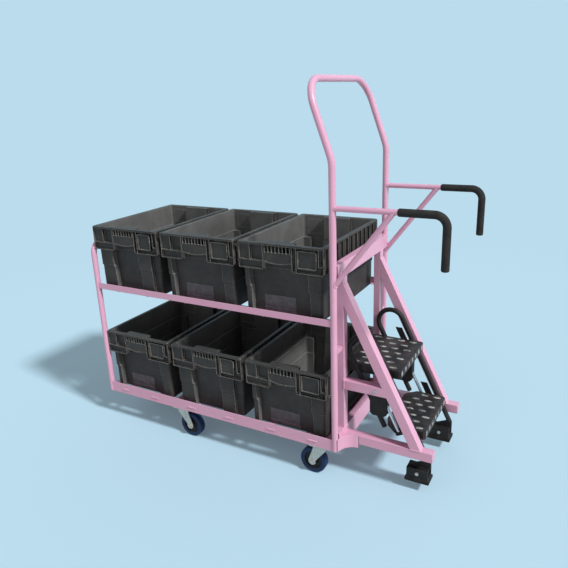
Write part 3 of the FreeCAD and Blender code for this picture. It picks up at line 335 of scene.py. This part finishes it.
def black_coat(name, dust, colour_of_dust):
    """Matt black paint with dust, rubbed edges and scratches."""
    coat = Finish(name, ease=0.0015, gloss=0.3)
    cloud = coat.place.noise(14.0, 6.0, 0.65)
    scratch = coat.place.stretched((18.0, 160.0, 160.0)).noise(1.0, 5.0, 0.7).between(0.66, 0.72)
    colour = (cloud.between(0.35, 0.75) * dust).mix((0.011, 0.009, 0.009), colour_of_dust)
    colour = (scratch * 0.4).mix(colour, (0.10, 0.095, 0.095))
    colour = (coat.edges(0.003, 0.04, 0.35) * 0.55).mix(colour, (0.13, 0.12, 0.12))
    grain = coat.place.noise(600.0, 2.0)
    return coat.done(colour, 0.42 + 0.25 * cloud, grain, 0.15, 0.0003)


def foam():
    """Closed-cell foam: pores and a dull sheen."""
    skin = Finish("grip_foam", ease=0.001, gloss=0.35)
    pores = skin.place.cells(900.0)
    cloud = skin.place.noise(30.0)
    colour = cloud.between(0.3, 0.8).mix((0.016, 0.014, 0.014), (0.034, 0.030, 0.029))
    return skin.done(colour, 0.78 + 0.15 * cloud, pores, 0.35, 0.0006)


def rubber():
    """Moulded rubber with dust rubbed into it."""
    skin = Finish("foot_rubber", ease=0.002, gloss=0.25)
    cloud = skin.place.noise(40.0, 5.0)
    colour = cloud.between(0.4, 0.8).mix((0.009, 0.008, 0.008), (0.030, 0.027, 0.025))
    return skin.done(colour, 0.62 + 0.25 * cloud, skin.place.noise(500.0), 0.2, 0.0004)


def block_plastic():
    """Dark moulded blocks with a fine spark texture."""
    skin = Finish("guide_plastic", ease=0.002, gloss=0.25)
    cloud = skin.place.noise(25.0, 4.0)
    colour = cloud.between(0.3, 0.7).mix((0.012, 0.011, 0.010), (0.026, 0.024, 0.023))
    return skin.done(colour, 0.50 + 0.2 * cloud, skin.place.noise(700.0), 0.2, 0.0003)


def zinc():
    """Bright zinc plate: soft mottling, dull patches and handling marks."""
    plate = Finish("zinc_plate", metal=0.9, ease=0.0012)
    spangle = plate.place.cells(130.0)
    cloud = plate.place.noise(30.0, 5.0)
    colour = spangle.between(0.1, 0.8).mix((0.48, 0.44, 0.39), (0.60, 0.55, 0.49))
    colour = (cloud.between(0.55, 0.8) * 0.5).mix(colour, (0.34, 0.31, 0.28))
    return plate.done(colour, 0.30 + 0.25 * cloud, plate.place.noise(260.0), 0.1, 0.0002)


def bright_rod():
    """Drawn bright steel with fine marks along the rod."""
    steel = Finish("bright_rod", metal=1.0, ease=0.0008)
    marks = steel.place.stretched((900.0, 900.0, 60.0)).noise(1.0, 3.0)
    colour = marks.mix((0.62, 0.63, 0.65), (0.80, 0.81, 0.82))
    return steel.done(colour, 0.18 + 0.18 * marks, marks, 0.05, 0.0002)


def blue_tyre():
    """Elastic rubber with floor dust worked into it."""
    skin = Finish("blue_tyre", ease=0.001, gloss=0.3)
    dust = skin.place.noise(60.0, 6.0, 0.65).between(0.42, 0.74)
    colour = (dust * 0.40).mix((0.005, 0.024, 0.085), (0.026, 0.040, 0.066))
    return skin.done(colour, 0.52 + 0.25 * dust, skin.place.noise(420.0), 0.15, 0.0003)


def hub_plastic():
    """Dark moulded wheel centre."""
    skin = Finish("hub_plastic", ease=0.001, gloss=0.25)
    cloud = skin.place.noise(60.0, 4.0)
    colour = cloud.between(0.3, 0.7).mix((0.010, 0.010, 0.012), (0.028, 0.028, 0.030))
    return skin.done(colour, 0.45 + 0.25 * cloud, skin.place.noise(600.0), 0.1, 0.0003)


def tote_plastic(name, low, high, scuffs, tint):
    """Charcoal moulded plastic: hazy scuffing, long scratches, and pale edges that are partly wear and partly
    a painted highlight.
    """
    skin = Finish(name, ease=0.0012, gloss=0.25)
    haze = skin.place.noise(9.0, 6.0, 0.65)
    fine = skin.place.noise(70.0, 5.0, 0.65)
    across = skin.place.stretched((10.0, 10.0, 150.0)).noise(1.0, 5.0, 0.7).between(0.60, 0.72)
    tint = np.array(tint)
    colour = haze.between(0.3, 0.75).mix(low * tint, high * tint)
    colour = (fine.between(0.50, 0.8) * scuffs).mix(colour, 0.12 * tint)
    colour = (across * scuffs).mix(colour, 0.15 * tint)
    # Pale edges: partly wear, partly a painted highlight laid along every edge.
    edge_wear_and_highlight = skin.edges(0.0030, 0.03, 0.26) * (0.50 + 0.50 * fine.between(0.35, 0.6))
    colour = (edge_wear_and_highlight * 0.85).mix(colour, (0.50, 0.48, 0.44))
    return skin.done(colour, 0.42 + 0.2 * haze + 0.1 * across, skin.place.noise(520.0), 0.12, 0.0003)


def bare_card():
    """Plain grey insert, scuffed."""
    skin = Finish("bare_card", ease=0.0004)
    cloud = skin.place.noise(45.0, 5.0)
    colour = cloud.between(0.3, 0.75).mix((0.070, 0.062, 0.066), (0.115, 0.098, 0.106))
    return skin.done(colour, 0.42 + 0.2 * cloud, skin.place.noise(300.0), 0.08, 0.0002)


def worn_stud():
    """Stud tops rubbed through the paint to dull steel."""
    steel = Finish("worn_stud", metal=0.35, ease=0.0008)
    rub = steel.place.noise(55.0, 5.0, 0.65).between(0.36, 0.60)
    colour = rub.mix((0.10, 0.095, 0.095), (0.52, 0.50, 0.49))
    return steel.done(colour, 0.36 + 0.2 * rub, steel.place.noise(300.0), 0.1, 0.0002)


finishes = {
    "pink_paint": pink_coat(),
    "black_paint": black_coat("black_coat", 0.45, (0.036, 0.031, 0.030)),
    "foam": foam(),
    "foot_rubber": rubber(),
    "guide_plastic": block_plastic(),
    "zinc": zinc(),
    "bright_steel": bright_rod(),
    "blue_tyre": blue_tyre(),
    "hub_plastic": hub_plastic(),
    "tote_plastic": tote_plastic("tote_plastic", 0.033, 0.056, 0.24, (1.0, 0.93, 0.88)),
}
tread_coat = black_coat("tread_coat", 0.9, (0.080, 0.060, 0.056))
for entry in frame["record"]["subparts"]:
    finish = tread_coat if entry["node"].endswith("_tread") else finishes[entry["material_slot"]]
    for holder in frame["nodes"][entry["node"]].material_slots:
        holder.material = finish


# Bent tubes, smooth where the solids have short straight lengths

def hoops():
    """The low hoop at the free end, and the push hoop that leans over the totes above its shoulder."""
    x, y, top = HOOP_X, SIDE_Y, HOOP_TOP
    corners = [(x, -y, FRAME_FOOT), (x, -y, top), (x, y, top), (x, y, FRAME_FOOT)]
    path = rounded(corners, (HOOP_BEND, HOOP_BEND))
    piece("free_end_hoop", "frame", finishes["pink_paint"],
          [(tube(path, TUBE_R, (1, 0, 0)), False, True, True)], ["left_hoop"])
    side = [(PUSH_X, FRAME_FOOT), (PUSH_X, PUSH_SHOULDER), (PUSH_TOP_X, PUSH_TOP)]
    near = [(x, -y, z) for x, z in side]
    far = [(x, y, z) for x, z in side[::-1]]
    path = rounded(near + far, (*PUSH_BENDS, *PUSH_BENDS[::-1]))
    piece("handle_end_hoop", "frame", finishes["pink_paint"],
          [(tube(path, TUBE_R, (1, 0, 0)), False, True, True)], ["push_hoop"])


def step_tubes():
    """Rear leg, half a turn about the bend's middle and the front leg, cut level on the foot's web."""
    x, z = STEP_CENTRE
    lean = STEP_LEAN
    down = np.array((math.sin(lean), -math.cos(lean)))
    turn = np.linspace(math.pi + lean, lean, 25)
    arc = np.stack([x + STEP_BEND * np.cos(turn), z + STEP_BEND * np.sin(turn)], axis=-1)
    drop = (arc[-1][1] - WEB_TOP) / math.cos(lean)
    flat = np.concatenate([[arc[0] + REAR_LEG * down], arc, [arc[-1] + drop * down]])
    grids = []
    for y in (-LEG_Y, LEG_Y):
        path = np.insert(flat, 1, y, axis=1)
        skin = tube(path, STEP_R, (0, 1, 0))
        level = (WEB_TOP - skin[-1, :, 2]) / down[1]
        skin[-1] += level[:, None] * np.array((down[0], 0, down[1]))
        grids.append((skin, False, True, True))
    piece("step_tubes", "step_unit", finishes["black_paint"], grids, ["step_side_tubes"])


def grips():
    """Foam sleeve along the handle's bend: its radius eases in at both ends as a quarter ellipse."""
    ease, end_share = 0.006, 0.72
    ends = ease * np.array((0.0, 0.12, 0.35, 0.65, 1.0))
    grids = []
    for y in (-SIDE_Y, SIDE_Y):
        corners = [(GRIP_START, y, HANDLE_Z), (HANDLE_END, y, HANDLE_Z), (HANDLE_END, y, GRIP_BOTTOM)]
        path = rounded(corners, (HANDLE_BEND,))
        run = lengths(path)
        stations = np.unique(np.concatenate([run, ends, run[-1] - ends, np.linspace(0, run[-1], 60)]))
        near_end = np.minimum(np.minimum(stations, run[-1] - stations) / ease, 1)
        radius = GRIP_R * (end_share + (1 - end_share) * np.sqrt(1 - (1 - near_end) ** 2))
        grids.append((tube(at_lengths(path, stations), radius, (0, 1, 0), 28), False, True, True))
    piece("grip_sleeves", "frame", finishes["foam"], grids, ["handle_grips"])


# Castors

def castors():
    """Tyres and hubs turned from profiles of (radius, across), with races and bolts under the plates."""
    shoulder = np.linspace(0, math.pi / 2, 6)
    half, soft, groove_deep = 0.018, 0.0065, 0.0012
    side = [(WHEEL_R - soft + soft * math.cos(a), half - soft + soft * math.sin(a)) for a in shoulder]
    groove = [(0.0505, half), (0.0495, half - groove_deep), (0.0436, half - groove_deep)]
    outer = side + groove
    tyre = outer + [(r, -y) for r, y in outer[::-1]]
    web = [(0.0434, 0.0168), (0.0400, 0.0168), (0.0375, 0.0090), (0.0215, 0.0075), (0.0185, 0.0120),
           (0.0170, 0.0205), (0.0062, 0.0205)]
    hub = web + [(r, -y) for r, y in web[::-1]]
    bolt = [(0.0062, 0.0), (0.0062, -0.0036), (0.0052, -0.0048), (0.0, -0.0050)]
    washer = [(0.0080, 0.0), (0.0080, -0.0012), (0.0058, -0.0012)]
    race = [(0.0335, -0.0002), (0.0386, -0.0002), (0.0394, -0.0030), (0.0394, -0.0068), (0.0382, -0.0097),
            (0.0335, -0.0097)]
    heads, rings = [], []
    for end in ("handle", "free"):
        for where, y in (("near", -WHEEL_Y), ("far", WHEEL_Y)):
            place = f"{end}_{where}"
            centre = (WHEEL_X[end], y, WHEEL_R)
            piece(f"round_tyre_{place}", f"wheel_{place}", finishes["blue_tyre"],
                  [(turned(tyre, centre, "y", 72), True, True, False)], [f"tyre_{place}"])
            piece(f"dished_hub_{place}", f"wheel_{place}", finishes["hub_plastic"],
                  [(turned(hub, centre, "y"), True, True, False)], [f"hub_{place}"])
            pivot = np.array((SWIVEL_X[end], y, PLATE_LOW))
            rings.append((turned(race, pivot, "z"), True, True, False))
            for corner in ((-1, -1), (-1, 1), (1, -1), (1, 1)):
                spot = pivot + (*np.multiply(corner, PLATE_BOLTS), 0.0)
                heads.append((turned(bolt, spot, "z", 6), False, True, False))
                heads.append((turned(washer, spot, "z", 24), False, True, False))
    piece("castor_races", "frame", finishes["zinc"], rings)
    piece("castor_plate_bolts", "frame", finishes["zinc"], heads)


# Steps

def studs():
    """Raised pads in staggered rows: oval caps whose height falls as h (1 - s^2.4) with the way out s."""
    half_long, half_wide, height, sunk = 0.0185, 0.0085, 0.0024, 0.0003
    pitch, rows = 0.056, 0.047 * np.arange(-3, 4)
    back_margin, front_margin, edge_drop = 0.034, 0.020, 0.019
    cut_corner = 0.100
    ring = np.linspace(0, 2 * math.pi, 14, endpoint=False)[None]
    out = np.array((1.0, 0.80, 0.45, 0.0))[:, None]
    long, wide = half_long * out * np.cos(ring), half_wide * out * np.sin(ring)
    high = height * (1 - out ** 2.4) - sunk + 0 * ring
    finish = worn_stud()
    for name, top in TREAD_TOP.items():
        back, front = [corner[0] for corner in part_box(f"{name}_tread")]
        x, y = np.meshgrid(np.arange(back + back_margin, front, pitch), rows)
        x = x + pitch / 2 * (np.arange(len(rows)) % 2)[:, None]
        inside = x < front - front_margin
        if name == "lower":
            inside &= x - back > np.abs(y) - cut_corner
        spots = np.stack([x[inside], y[inside], np.full(inside.sum(), top)], axis=-1)
        flat = spots[:, None, None] + np.stack([long, wide, high], axis=-1)[None]
        edge = np.stack([np.full(len(rows), front), rows, np.full(len(rows), top - edge_drop)], axis=-1)
        upright = edge[:, None, None] + np.stack([high * 0.8, wide, 0.75 * long], axis=-1)[None]
        piece(f"{name}_tread_studs", "step_unit", finish,
              [(flat, False, True, False), (upright, False, True, False)], sharp=60)


# Welds

def bead(path, across, radius=0.0026, closed=False):
    """Weld bead: a tube whose radius ripples along its run, r(s) = r0 (1 + 0.16 sin k s)."""
    path = np.asarray(path, dtype=float)
    count = len(path)
    swell = radius * (1 + 0.16 * np.sin(np.arange(count) * 2.2))
    return tube(path, swell, across, 10, closed), closed, True, not closed


def straight_bead(start, stop, across, radius=0.0026):
    """Bead along a straight seam."""
    length = math.dist(start, stop)
    part = np.linspace(0, 1, max(4, int(length / 0.0022)))[:, None]
    return bead(np.asarray(start) + part * (np.asarray(stop) - np.asarray(start)), across, radius)


def frame_bead(centre, wide, tall, radius=0.0024):
    """Bead round the end of a box section: a rounded rectangle."""
    centre, wide, tall = np.asarray(centre), np.asarray(wide), np.asarray(tall)
    corners = [centre + a * wide + b * tall for a, b in ((1, 0), (1, 1), (-1, 1), (-1, -1), (1, -1), (1, 0))]
    path = rounded(corners, (0.004,) * 4, 5)
    whole = lengths(path)[-1]
    stations = np.linspace(0, whole, int(whole / 0.0024))[:-1]
    return bead(at_lengths(path, stations), np.cross(wide, tall), radius, closed=True)


def saddle_bead(z, y, lean):
    """Bead where a round bar meets the upright tube: the bar's outline laid on the tube's wall."""
    turn = np.linspace(0, 2 * math.pi, 48, endpoint=False)
    side = HANDLE_R * np.cos(turn)
    out = np.sqrt((TUBE_R + 0.0006) ** 2 - side ** 2)
    rise = HANDLE_R * np.sin(turn) / math.sin(lean) + out / math.tan(lean)
    path = np.stack([PUSH_X + out, y + side, z + rise], axis=-1)
    return bead(path, (1, 0, 0), 0.0024, closed=True)


def welds():
    """Beads at the handles, along the lips, at the rails' ends, at the gussets and round the step frames."""
    stitches, stitch = (-0.760, -0.560, -0.330, -0.110, 0.120, 0.330), 0.022
    rail_end, thick = 0.0122, 0.0030
    grids = []
    lean = math.atan2(BRACE_REACH, HANDLE_Z - BRACE_Z)
    for sign in (-1, 1):
        y = sign * SIDE_Y
        grids.append(saddle_bead(HANDLE_Z, y, math.pi / 2))
        grids.append(saddle_bead(BRACE_Z, y, lean))
        face = sign * (RAIL_Y + 0.0002)
        for x in stitches:
            grids.append(straight_bead((x - stitch, face, LIP_Z), (x + stitch, face, LIP_Z), UP, thick))
        out = sign * (SIDE_Y + 0.0075)
        for z in (UPPER_RAIL_Z, LIP_Z):
            for x in (HOOP_X + rail_end, PUSH_X - rail_end):
                low, high = (x, out, z + 0.001), (x, out, z + RAIL_TALL - 0.001)
                grids.append(straight_bead(low, high, (1, 0, 0), thick))
        seam = (GUSSET_X - 0.0025, sign * (RAIL_Y - 0.0035))
        grids.append(straight_bead((*seam, FRAME_FOOT + 0.002), (*seam, BAR_Z[1] - 0.001), (1, 0, 0), 0.0034))
        middle = sign * STEP_Y
        half = STEP_HALF
        for low, high in (BAR_Z, STRUT_Z):
            grids.append(frame_bead((POST_X[1], middle, (low + high) / 2), (0, half, 0), (0, 0, half)))
        centre_x = sum(POST_X) / 2
        for z in (BEAM_TOP, POST_TOP):
            grids.append(frame_bead((centre_x, middle, z), (centre_x - POST_X[0], 0, 0), (0, half, 0)))
        foot = STEP_HALF / math.cos(STEP_LEAN)
        grids.append(frame_bead((DIAGONAL_FOOT - foot, middle, BAR_Z[1]), (foot, 0, 0), (0, half, 0)))
    piece("weld_beads", "frame", finishes["pink_paint"], grids, sharp=70)


# Totes, in metres from the middle of the underside

TOTE_HALF = (0.200, 0.300)
BODY_WALL = 0.0026
BODY_INSET = (0.0195, 0.0190, 0.0165, 0.0165)
BODY_CORNER = (0.012, 0.012, 0.011, 0.009)
BODY_RECESS = (0.022, 0.024, 0.026, 0.026)
BODY_STEP = 0.016
LEDGE = 0.120
RIM_LOW = 0.203
RIM_WALL = (0.186, 0.284)
RIM_CORNER = 0.012
FLANGE = 0.009
FLANGE_CORNER = 0.014
SOFT_EDGE = 0.0012
PULL_DEEP = 0.028
PULL_TOP = 0.281
PULL_LOW = 0.240
RIB = 0.003
RIB_OUT = 0.1985
RIB_TOP = TOTE_HEIGHT - RIB
BLOCK_LOW = 0.2385
PANEL_Z = (0.2235, 0.2985)
# Straight run beside a corner's arc, as a share of the corner's radius
RUN_OUT = 1.2


class End:
    """One short end of a tote, as seen from outside, with the recess of its body at four levels."""

    def __init__(self, columns, body_end, block, pull, upright, panel):
        self.columns, self.body_end = columns, body_end
        self.block, self.pull, self.upright, self.panel = block, pull, upright, panel


PLAIN_END = End(columns=((-0.150, 0.132), (-0.151, 0.128), (-0.155, 0.123), (-0.160, 0.122)), body_end=None,
                block=(-0.080, -0.143), pull=(-0.076, 0.054), upright=0.0755, panel=(0.081, 0.167))
BROAD_END = End(columns=((-0.092, 0.072), (-0.097, 0.069), (-0.101, 0.065), (-0.104, 0.062)), body_end=0.141,
                block=(-0.075, -0.137), pull=(-0.071, 0.057), upright=0.0785, panel=(0.084, 0.158))
TURNED = ("tote_upper_1", "tote_lower_2")


def quarter_turn(steps=5):
    """Quarter circle from a face to the next, with a short straight run before and after it."""
    turn = np.linspace(0, math.pi / 2, steps)
    return np.r_[RUN_OUT, 1 - np.sin(turn), 0], np.r_[0, 1 - np.cos(turn), RUN_OUT]


def end_line(half, corner, left, right, back, stop, step):
    """Way along one end: corner arc, recess between two edges, step in near the far corner, corner arc."""
    along, inward = quarter_turn()
    start = np.stack([-half + corner * along, corner * inward], axis=-1)[::-1]
    middle = [(left, 0), (left, back), (right, back), (right, 0), (stop, 0), (stop, step)]
    finish = np.stack([half - corner * along, step + corner * inward], axis=-1)
    return np.concatenate([start, middle, finish])


def plan(z, half_x, half_y, corner, near, far):
    """Plan of the shell at a level: the near end's line, then the far end's turned about the middle."""
    rings = []
    for sign, (left, right, back, stop, step) in ((1, near), (-1, far)):
        stop = half_x - RUN_OUT * corner if stop is None else stop
        s, depth = end_line(half_x, corner, left, right, back, stop, step).T
        rings.append(np.stack([sign * s, sign * (depth - half_y), np.full(len(s), z)], axis=-1))
    return np.concatenate(rings)


def tote_shell():
    """Plans from the underside up the outside, over the rim and down the inside to the floor."""
    ends = (PLAIN_END, BROAD_END)

    def body(z, level, wall=0.0, more_inset=0.0):
        lines = []
        for end in ends:
            left, right = end.columns[level]
            stop, step = (None, 0.0) if end.body_end is None else (end.body_end - wall, BODY_STEP)
            lines.append((left - wall, right + wall, BODY_RECESS[level], stop, step))
        half_x, half_y = np.array(TOTE_HALF) - BODY_INSET[level] - more_inset - wall
        return plan(z, half_x, half_y, BODY_CORNER[level] - wall, *lines)

    def rim(z, half, corner, back, wall=0.0):
        lines = [(end.pull[0] - wall, end.pull[1] + wall, back, None, 0.0) for end in ends]
        return plan(z, *half, corner, *lines)

    wall, soft, top = BODY_WALL, SOFT_EDGE, TOTE_HEIGHT
    lip, outer = np.array(TOTE_HALF), np.array(RIM_WALL)
    inner = outer - wall
    return np.stack([
        body(0.0, 0, more_inset=0.0035), body(0.004, 0), body(LEDGE - 0.002, 1),
        body(LEDGE + 0.001, 2), body(RIM_LOW, 3),
        rim(RIM_LOW, outer, RIM_CORNER, PULL_DEEP), rim(top - FLANGE, outer, RIM_CORNER, PULL_DEEP),
        rim(top - FLANGE, lip, FLANGE_CORNER, 0.0), rim(top - soft, lip, FLANGE_CORNER, 0.0),
        rim(top, lip - soft, FLANGE_CORNER - 0.001, 0.0),
        rim(top, inner + soft, RIM_CORNER - 0.001, PULL_DEEP, wall),
        rim(top - soft, inner, RIM_CORNER - 0.002, PULL_DEEP, wall),
        rim(RIM_LOW + 0.005, inner, RIM_CORNER - 0.002, PULL_DEEP, wall),
        body(RIM_LOW + 0.003, 3, wall), body(LEDGE + 0.004, 2, wall),
        body(LEDGE + 0.001, 1, wall), body(0.008, 0, wall), body(0.0035, 0, wall, more_inset=0.0030),
    ])


def bricks(spans):
    """Boxes from rows of low and high ends along three ways."""
    low, high = np.asarray(spans, dtype=float).reshape(-1, 3, 2).transpose(2, 0, 1)
    ring = np.array(((0, 0), (1, 0), (1, 1), (0, 1)))
    pick = np.array([[(a, b, c) for a, b in ring] for c in (0, 1)])
    return low[:, None, None] + pick[None] * (high - low)[:, None, None]


def end_ribs(end):
    """Frames and ribs of one short end, as spans along, out and up."""
    face, wall = TOTE_FACE, RIM_WALL[1] - 0.002
    edge, inside = end.block
    left, right = end.panel
    first, last = end.pull
    out, tall = (wall, face), (BLOCK_LOW, RIB_TOP)
    low_z, block_z = (RIM_LOW, RIM_LOW + RIB), (BLOCK_LOW, BLOCK_LOW + RIB)
    far_block = 0.1740
    middle = BLOCK_LOW + RIB / 2
    upright = [(-RIB_OUT, RIM_LOW), (edge - RIB / 2, RIM_LOW), (inside - 0.0012, middle),
               (last + RIB / 2, RIM_LOW + 2 * RIB), (end.upright - RIB / 2, RIM_LOW),
               (RIB_OUT - RIB, RIM_LOW), (far_block, middle)]
    spans = [((x, x + RIB), out, (z, RIB_TOP)) for x, z in upright]
    spans += [((-RIB_OUT, edge + RIB / 2), out, level) for level in (low_z, block_z)]
    spans += [((last + 2 * RIB, RIB_OUT), out, low_z), ((far_block, RIB_OUT), out, block_z)]
    spans += [((left, right), out, (z, z + RIB)) for z in (PANEL_Z[0], PANEL_Z[1] - RIB)]
    spans += [((x, x + RIB), out, PANEL_Z) for x in (left, right - RIB)]
    spans += [((left, right), (wall, face - 0.005), PANEL_Z)]
    spans += [((RIB / 2 - RIB_OUT, inside), (wall, face - 0.006), tall)]
    spans += [((RIB / 2 - RIB_OUT, edge), (wall, face - 0.010), (RIM_LOW, middle))]
    comb = first + 0.004 + (last - first - 0.011) * np.arange(8) / 7
    spans += [((x, x + RIB), (face - 0.036, face), (PULL_TOP - RIB, RIB_TOP)) for x in comb]
    return spans


def pull_skirt(end):
    """Skirt of the pull: a plate whose lower edge sags as a parabola, with a bead along that edge."""
    first, last = end.pull
    part = np.linspace(-1, 1, 17)
    along = (first + last) / 2 + part * (last - first) / 2
    low = PULL_LOW - 0.009 * (1 - part ** 2)
    high = np.full(len(part), PULL_TOP)
    out = TOTE_FACE - np.array((0.002, 0.002, 0.005, 0.005))
    tall = np.stack([high, low, low, high], axis=-1)
    plate = np.stack([along[:, None] + 0 * tall, out + 0 * tall, tall], axis=-1)
    edge = np.stack([along, np.full(len(part), TOTE_FACE - SOFT_EDGE), low], axis=-1)
    return plate, tube(edge, 0.0022, (0, 1, 0), 10)


def side_ribs():
    """Ribs and flange of the long sides' rim."""
    spans = []
    wall, reach = RIM_WALL[0] - 0.002, RIM_WALL[1] + 0.002
    for out in ((-RIB_OUT, -wall), (wall, RIB_OUT)):
        spans += [(out, (y - RIB / 2, y + RIB / 2), (RIM_LOW, RIB_TOP)) for y in np.linspace(-0.25, 0.25, 11)]
        spans.append((out, (-reach, reach), (RIM_LOW, RIM_LOW + RIB)))
    return spans


def paint_cavity_lighter(tote, place, painted_light_lining):
    """Gives a lighter copy of the tote plastic, painted light for lit insides, to the faces of a tote's
    cavity: those that look inward, and the floor.
    """
    mesh = tote.data
    mesh.materials.append(painted_light_lining)
    centre, normal = np.empty((2, 3 * len(mesh.polygons)))
    mesh.polygons.foreach_get("center", centre)
    mesh.polygons.foreach_get("normal", normal)
    centre, normal = centre.reshape(-1, 3) - place, normal.reshape(-1, 3)
    wide = np.abs(centre[:, :2]) < np.array(RIM_WALL) - 0.001
    inward = (centre[:, :2] * normal[:, :2]).sum(axis=1) < -0.001
    floor = (normal[:, 2] > 0.7) & (centre[:, 2] < 0.30)
    within = wide.all(axis=1) & (inward | floor)
    mesh.polygons.foreach_set("material_index", within.astype(np.int32))


def totes():
    """Each tote: the shell, its ribs and skirts, and a bare card on the plain end; two stand turned about."""
    card = bare_card()
    # Lighter copy of the tote plastic for the cavities: painted light, so the insides look lit while the
    # outsides stay dark.
    inside = tote_plastic("tote_inside_painted_light", 0.105, 0.150, 0.35, (1.0, 1.0, 0.97))
    shell = tote_shell()
    near, far = np.array((1, -1, 1)), np.array((-1, 1, 1))
    grids = [(shell, False, True, True), (bricks(side_ribs()), False, True, True)]
    for end, side in ((PLAIN_END, near), (BROAD_END, far)):
        grids.append((bricks(end_ribs(end)) * side, False, True, True))
        grids += [(skin * side, False, True, True) for skin in pull_skirt(end)]
    spot = np.array([(-0.0245, -0.2580, 0.046)])
    paper = plates(spot, np.array((1.0, 0, 0)), UP, half_wide=0.0755, half_tall=0.0365,
                   thick=0.0012, corner=0.003, sink=0.004)
    lip = bricks([((-0.100, 0.051), (-0.2640, -0.2570), (0.024, 0.028))])
    for row, base in TOTE_BASE.items():
        for i, x in enumerate(TOTE_X, start=1):
            tote = f"tote_{row}_{i}"
            about = np.array((-1, -1, 1)) if tote in TURNED else 1
            place = np.array((x, 0, base))
            made = piece(f"{tote}_moulding", tote, finishes["tote_plastic"],
                         [(grid * about + place, *rest) for grid, *rest in grids], [tote])
            paint_cavity_lighter(made, place, inside)
            piece(f"{tote}_card", tote, card,
                  [(grid * about + place, False, True, True) for grid in (paper, lip)])


# Studio

def seen_directly(tree):
    """1 on rays from the camera, a mirror or glass, and 0 on rays that only carry light."""
    rays = tree.nodes.new("ShaderNodeLightPath").outputs
    kinds = ("Camera", "Glossy", "Transmission")
    seen, mirrored, passed = [Wire(tree, rays[f"Is {kind} Ray"]) for kind in kinds]
    return seen + mirrored + passed


def pale_floor(pale):
    """Floor that takes the shadow, fades into the backdrop far out and sends back grey light."""
    coat = bpy.data.materials.new("pale_floor")
    coat.use_nodes = True
    tree = coat.node_tree
    shader = tree.nodes["Principled BSDF"]
    shader.inputs["Roughness"].default_value = 0.9
    shader.inputs["Specular IOR Level"].default_value = 0.1
    seen = seen_directly(tree)
    seen.plug(shader.inputs["Base Color"], seen.mix((0.55, 0.55, 0.55), 0.955 * np.array(pale)))
    shine = seen.mix((0.60, 0.60, 0.60), pale)
    glow = seen.node("ShaderNodeEmission", None, {"Color": shine, "Strength": 1.0})
    spot = seen.node("ShaderNodeNewGeometry", out="Position")
    far = seen.node("ShaderNodeVectorMath", {"operation": "LENGTH"}, {0: spot}, "Value").between(1.8, 4.5)
    lit = Wire(tree, shader.outputs[0])
    blend = seen.node("ShaderNodeMixShader", None, {0: 0.15 + 0.85 * far, 1: lit, 2: glow})
    tree.links.new(blend.socket, tree.nodes["Material Output"].inputs["Surface"])
    return coat


def studio():
    """Pale blue floor and backdrop, a key light from the handle end and a weak fill from the near side."""
    scene = bpy.context.scene
    scene.view_settings.view_transform = "Standard"
    pale = (0.497, 0.716, 0.847)
    reach = 60.0
    floor_mesh = bpy.data.meshes.new("floor")
    corners = [(-reach, -reach, 0), (reach, -reach, 0), (reach, reach, 0), (-reach, reach, 0)]
    floor_mesh.from_pydata(corners, [], [(0, 1, 2, 3)])
    floor_mesh.materials.append(pale_floor(pale))
    floor = bpy.data.objects.new("floor", floor_mesh)
    scene.collection.objects.link(floor)
    world = bpy.data.worlds.new("studio")
    scene.world = world
    world.use_nodes = True
    tree = world.node_tree
    sky = tree.nodes["Background"]
    sky.inputs["Color"].default_value = (0.97, 0.99, 1.0, 1)
    sky.inputs["Strength"].default_value = 0.32
    seen = seen_directly(tree)
    backdrop = seen.node("ShaderNodeBackground", None, {"Color": pale, "Strength": 1.0})
    both = seen.node("ShaderNodeMixShader", None, {0: seen, 1: Wire(tree, sky.outputs[0]), 2: backdrop})
    tree.links.new(both.socket, tree.nodes["World Output"].inputs["Surface"])
    for name, towards, power, soft in (
        ("key", (1.0, -0.22, 1.0), 3.3, 7.0),
        ("fill", (-0.25, -0.85, 0.45), 0.20, 60.0),
    ):
        lamp = bpy.data.lights.new(name, "SUN")
        lamp.energy = power
        lamp.angle = math.radians(soft)
        light = bpy.data.objects.new(name, lamp)
        back = unit(np.array(towards))
        side = unit(np.cross(UP, back))
        light.matrix_world = Matrix(np.stack([side, np.cross(back, side), back], axis=-1)).to_4x4()
        scene.collection.objects.link(light)


def camera():
    """Pinhole fitted to the totes' rims: turned, tipped down and rolled."""
    yaw, pitch, roll = [math.radians(a) for a in (-29.65, 18.10, 2.26)]
    focal_pixels, picture_pixels = 579, 568
    ahead = np.array((math.sin(yaw) * math.cos(pitch), math.cos(yaw) * math.cos(pitch), -math.sin(pitch)))
    right = np.array((math.cos(yaw), -math.sin(yaw), 0.0))
    down = np.cross(ahead, right)
    level = math.cos(roll) * right + math.sin(roll) * down
    tipped = math.cos(roll) * down - math.sin(roll) * right
    lens = bpy.data.cameras.new("camera")
    lens.sensor_width = 36.0
    lens.lens = lens.sensor_width * focal_pixels / picture_pixels
    lens.clip_end = 200.0
    eye = bpy.data.objects.new("camera", lens)
    turn = Matrix(np.stack([level, -tipped, -ahead], axis=-1)).to_4x4()
    eye.matrix_world = Matrix.Translation((1.330, -2.257, 1.622)) @ turn
    bpy.context.scene.collection.objects.link(eye)
    bpy.context.scene.camera = eye


hoops()
step_tubes()
grips()
castors()
studs()
welds()
totes()
studio()
camera()
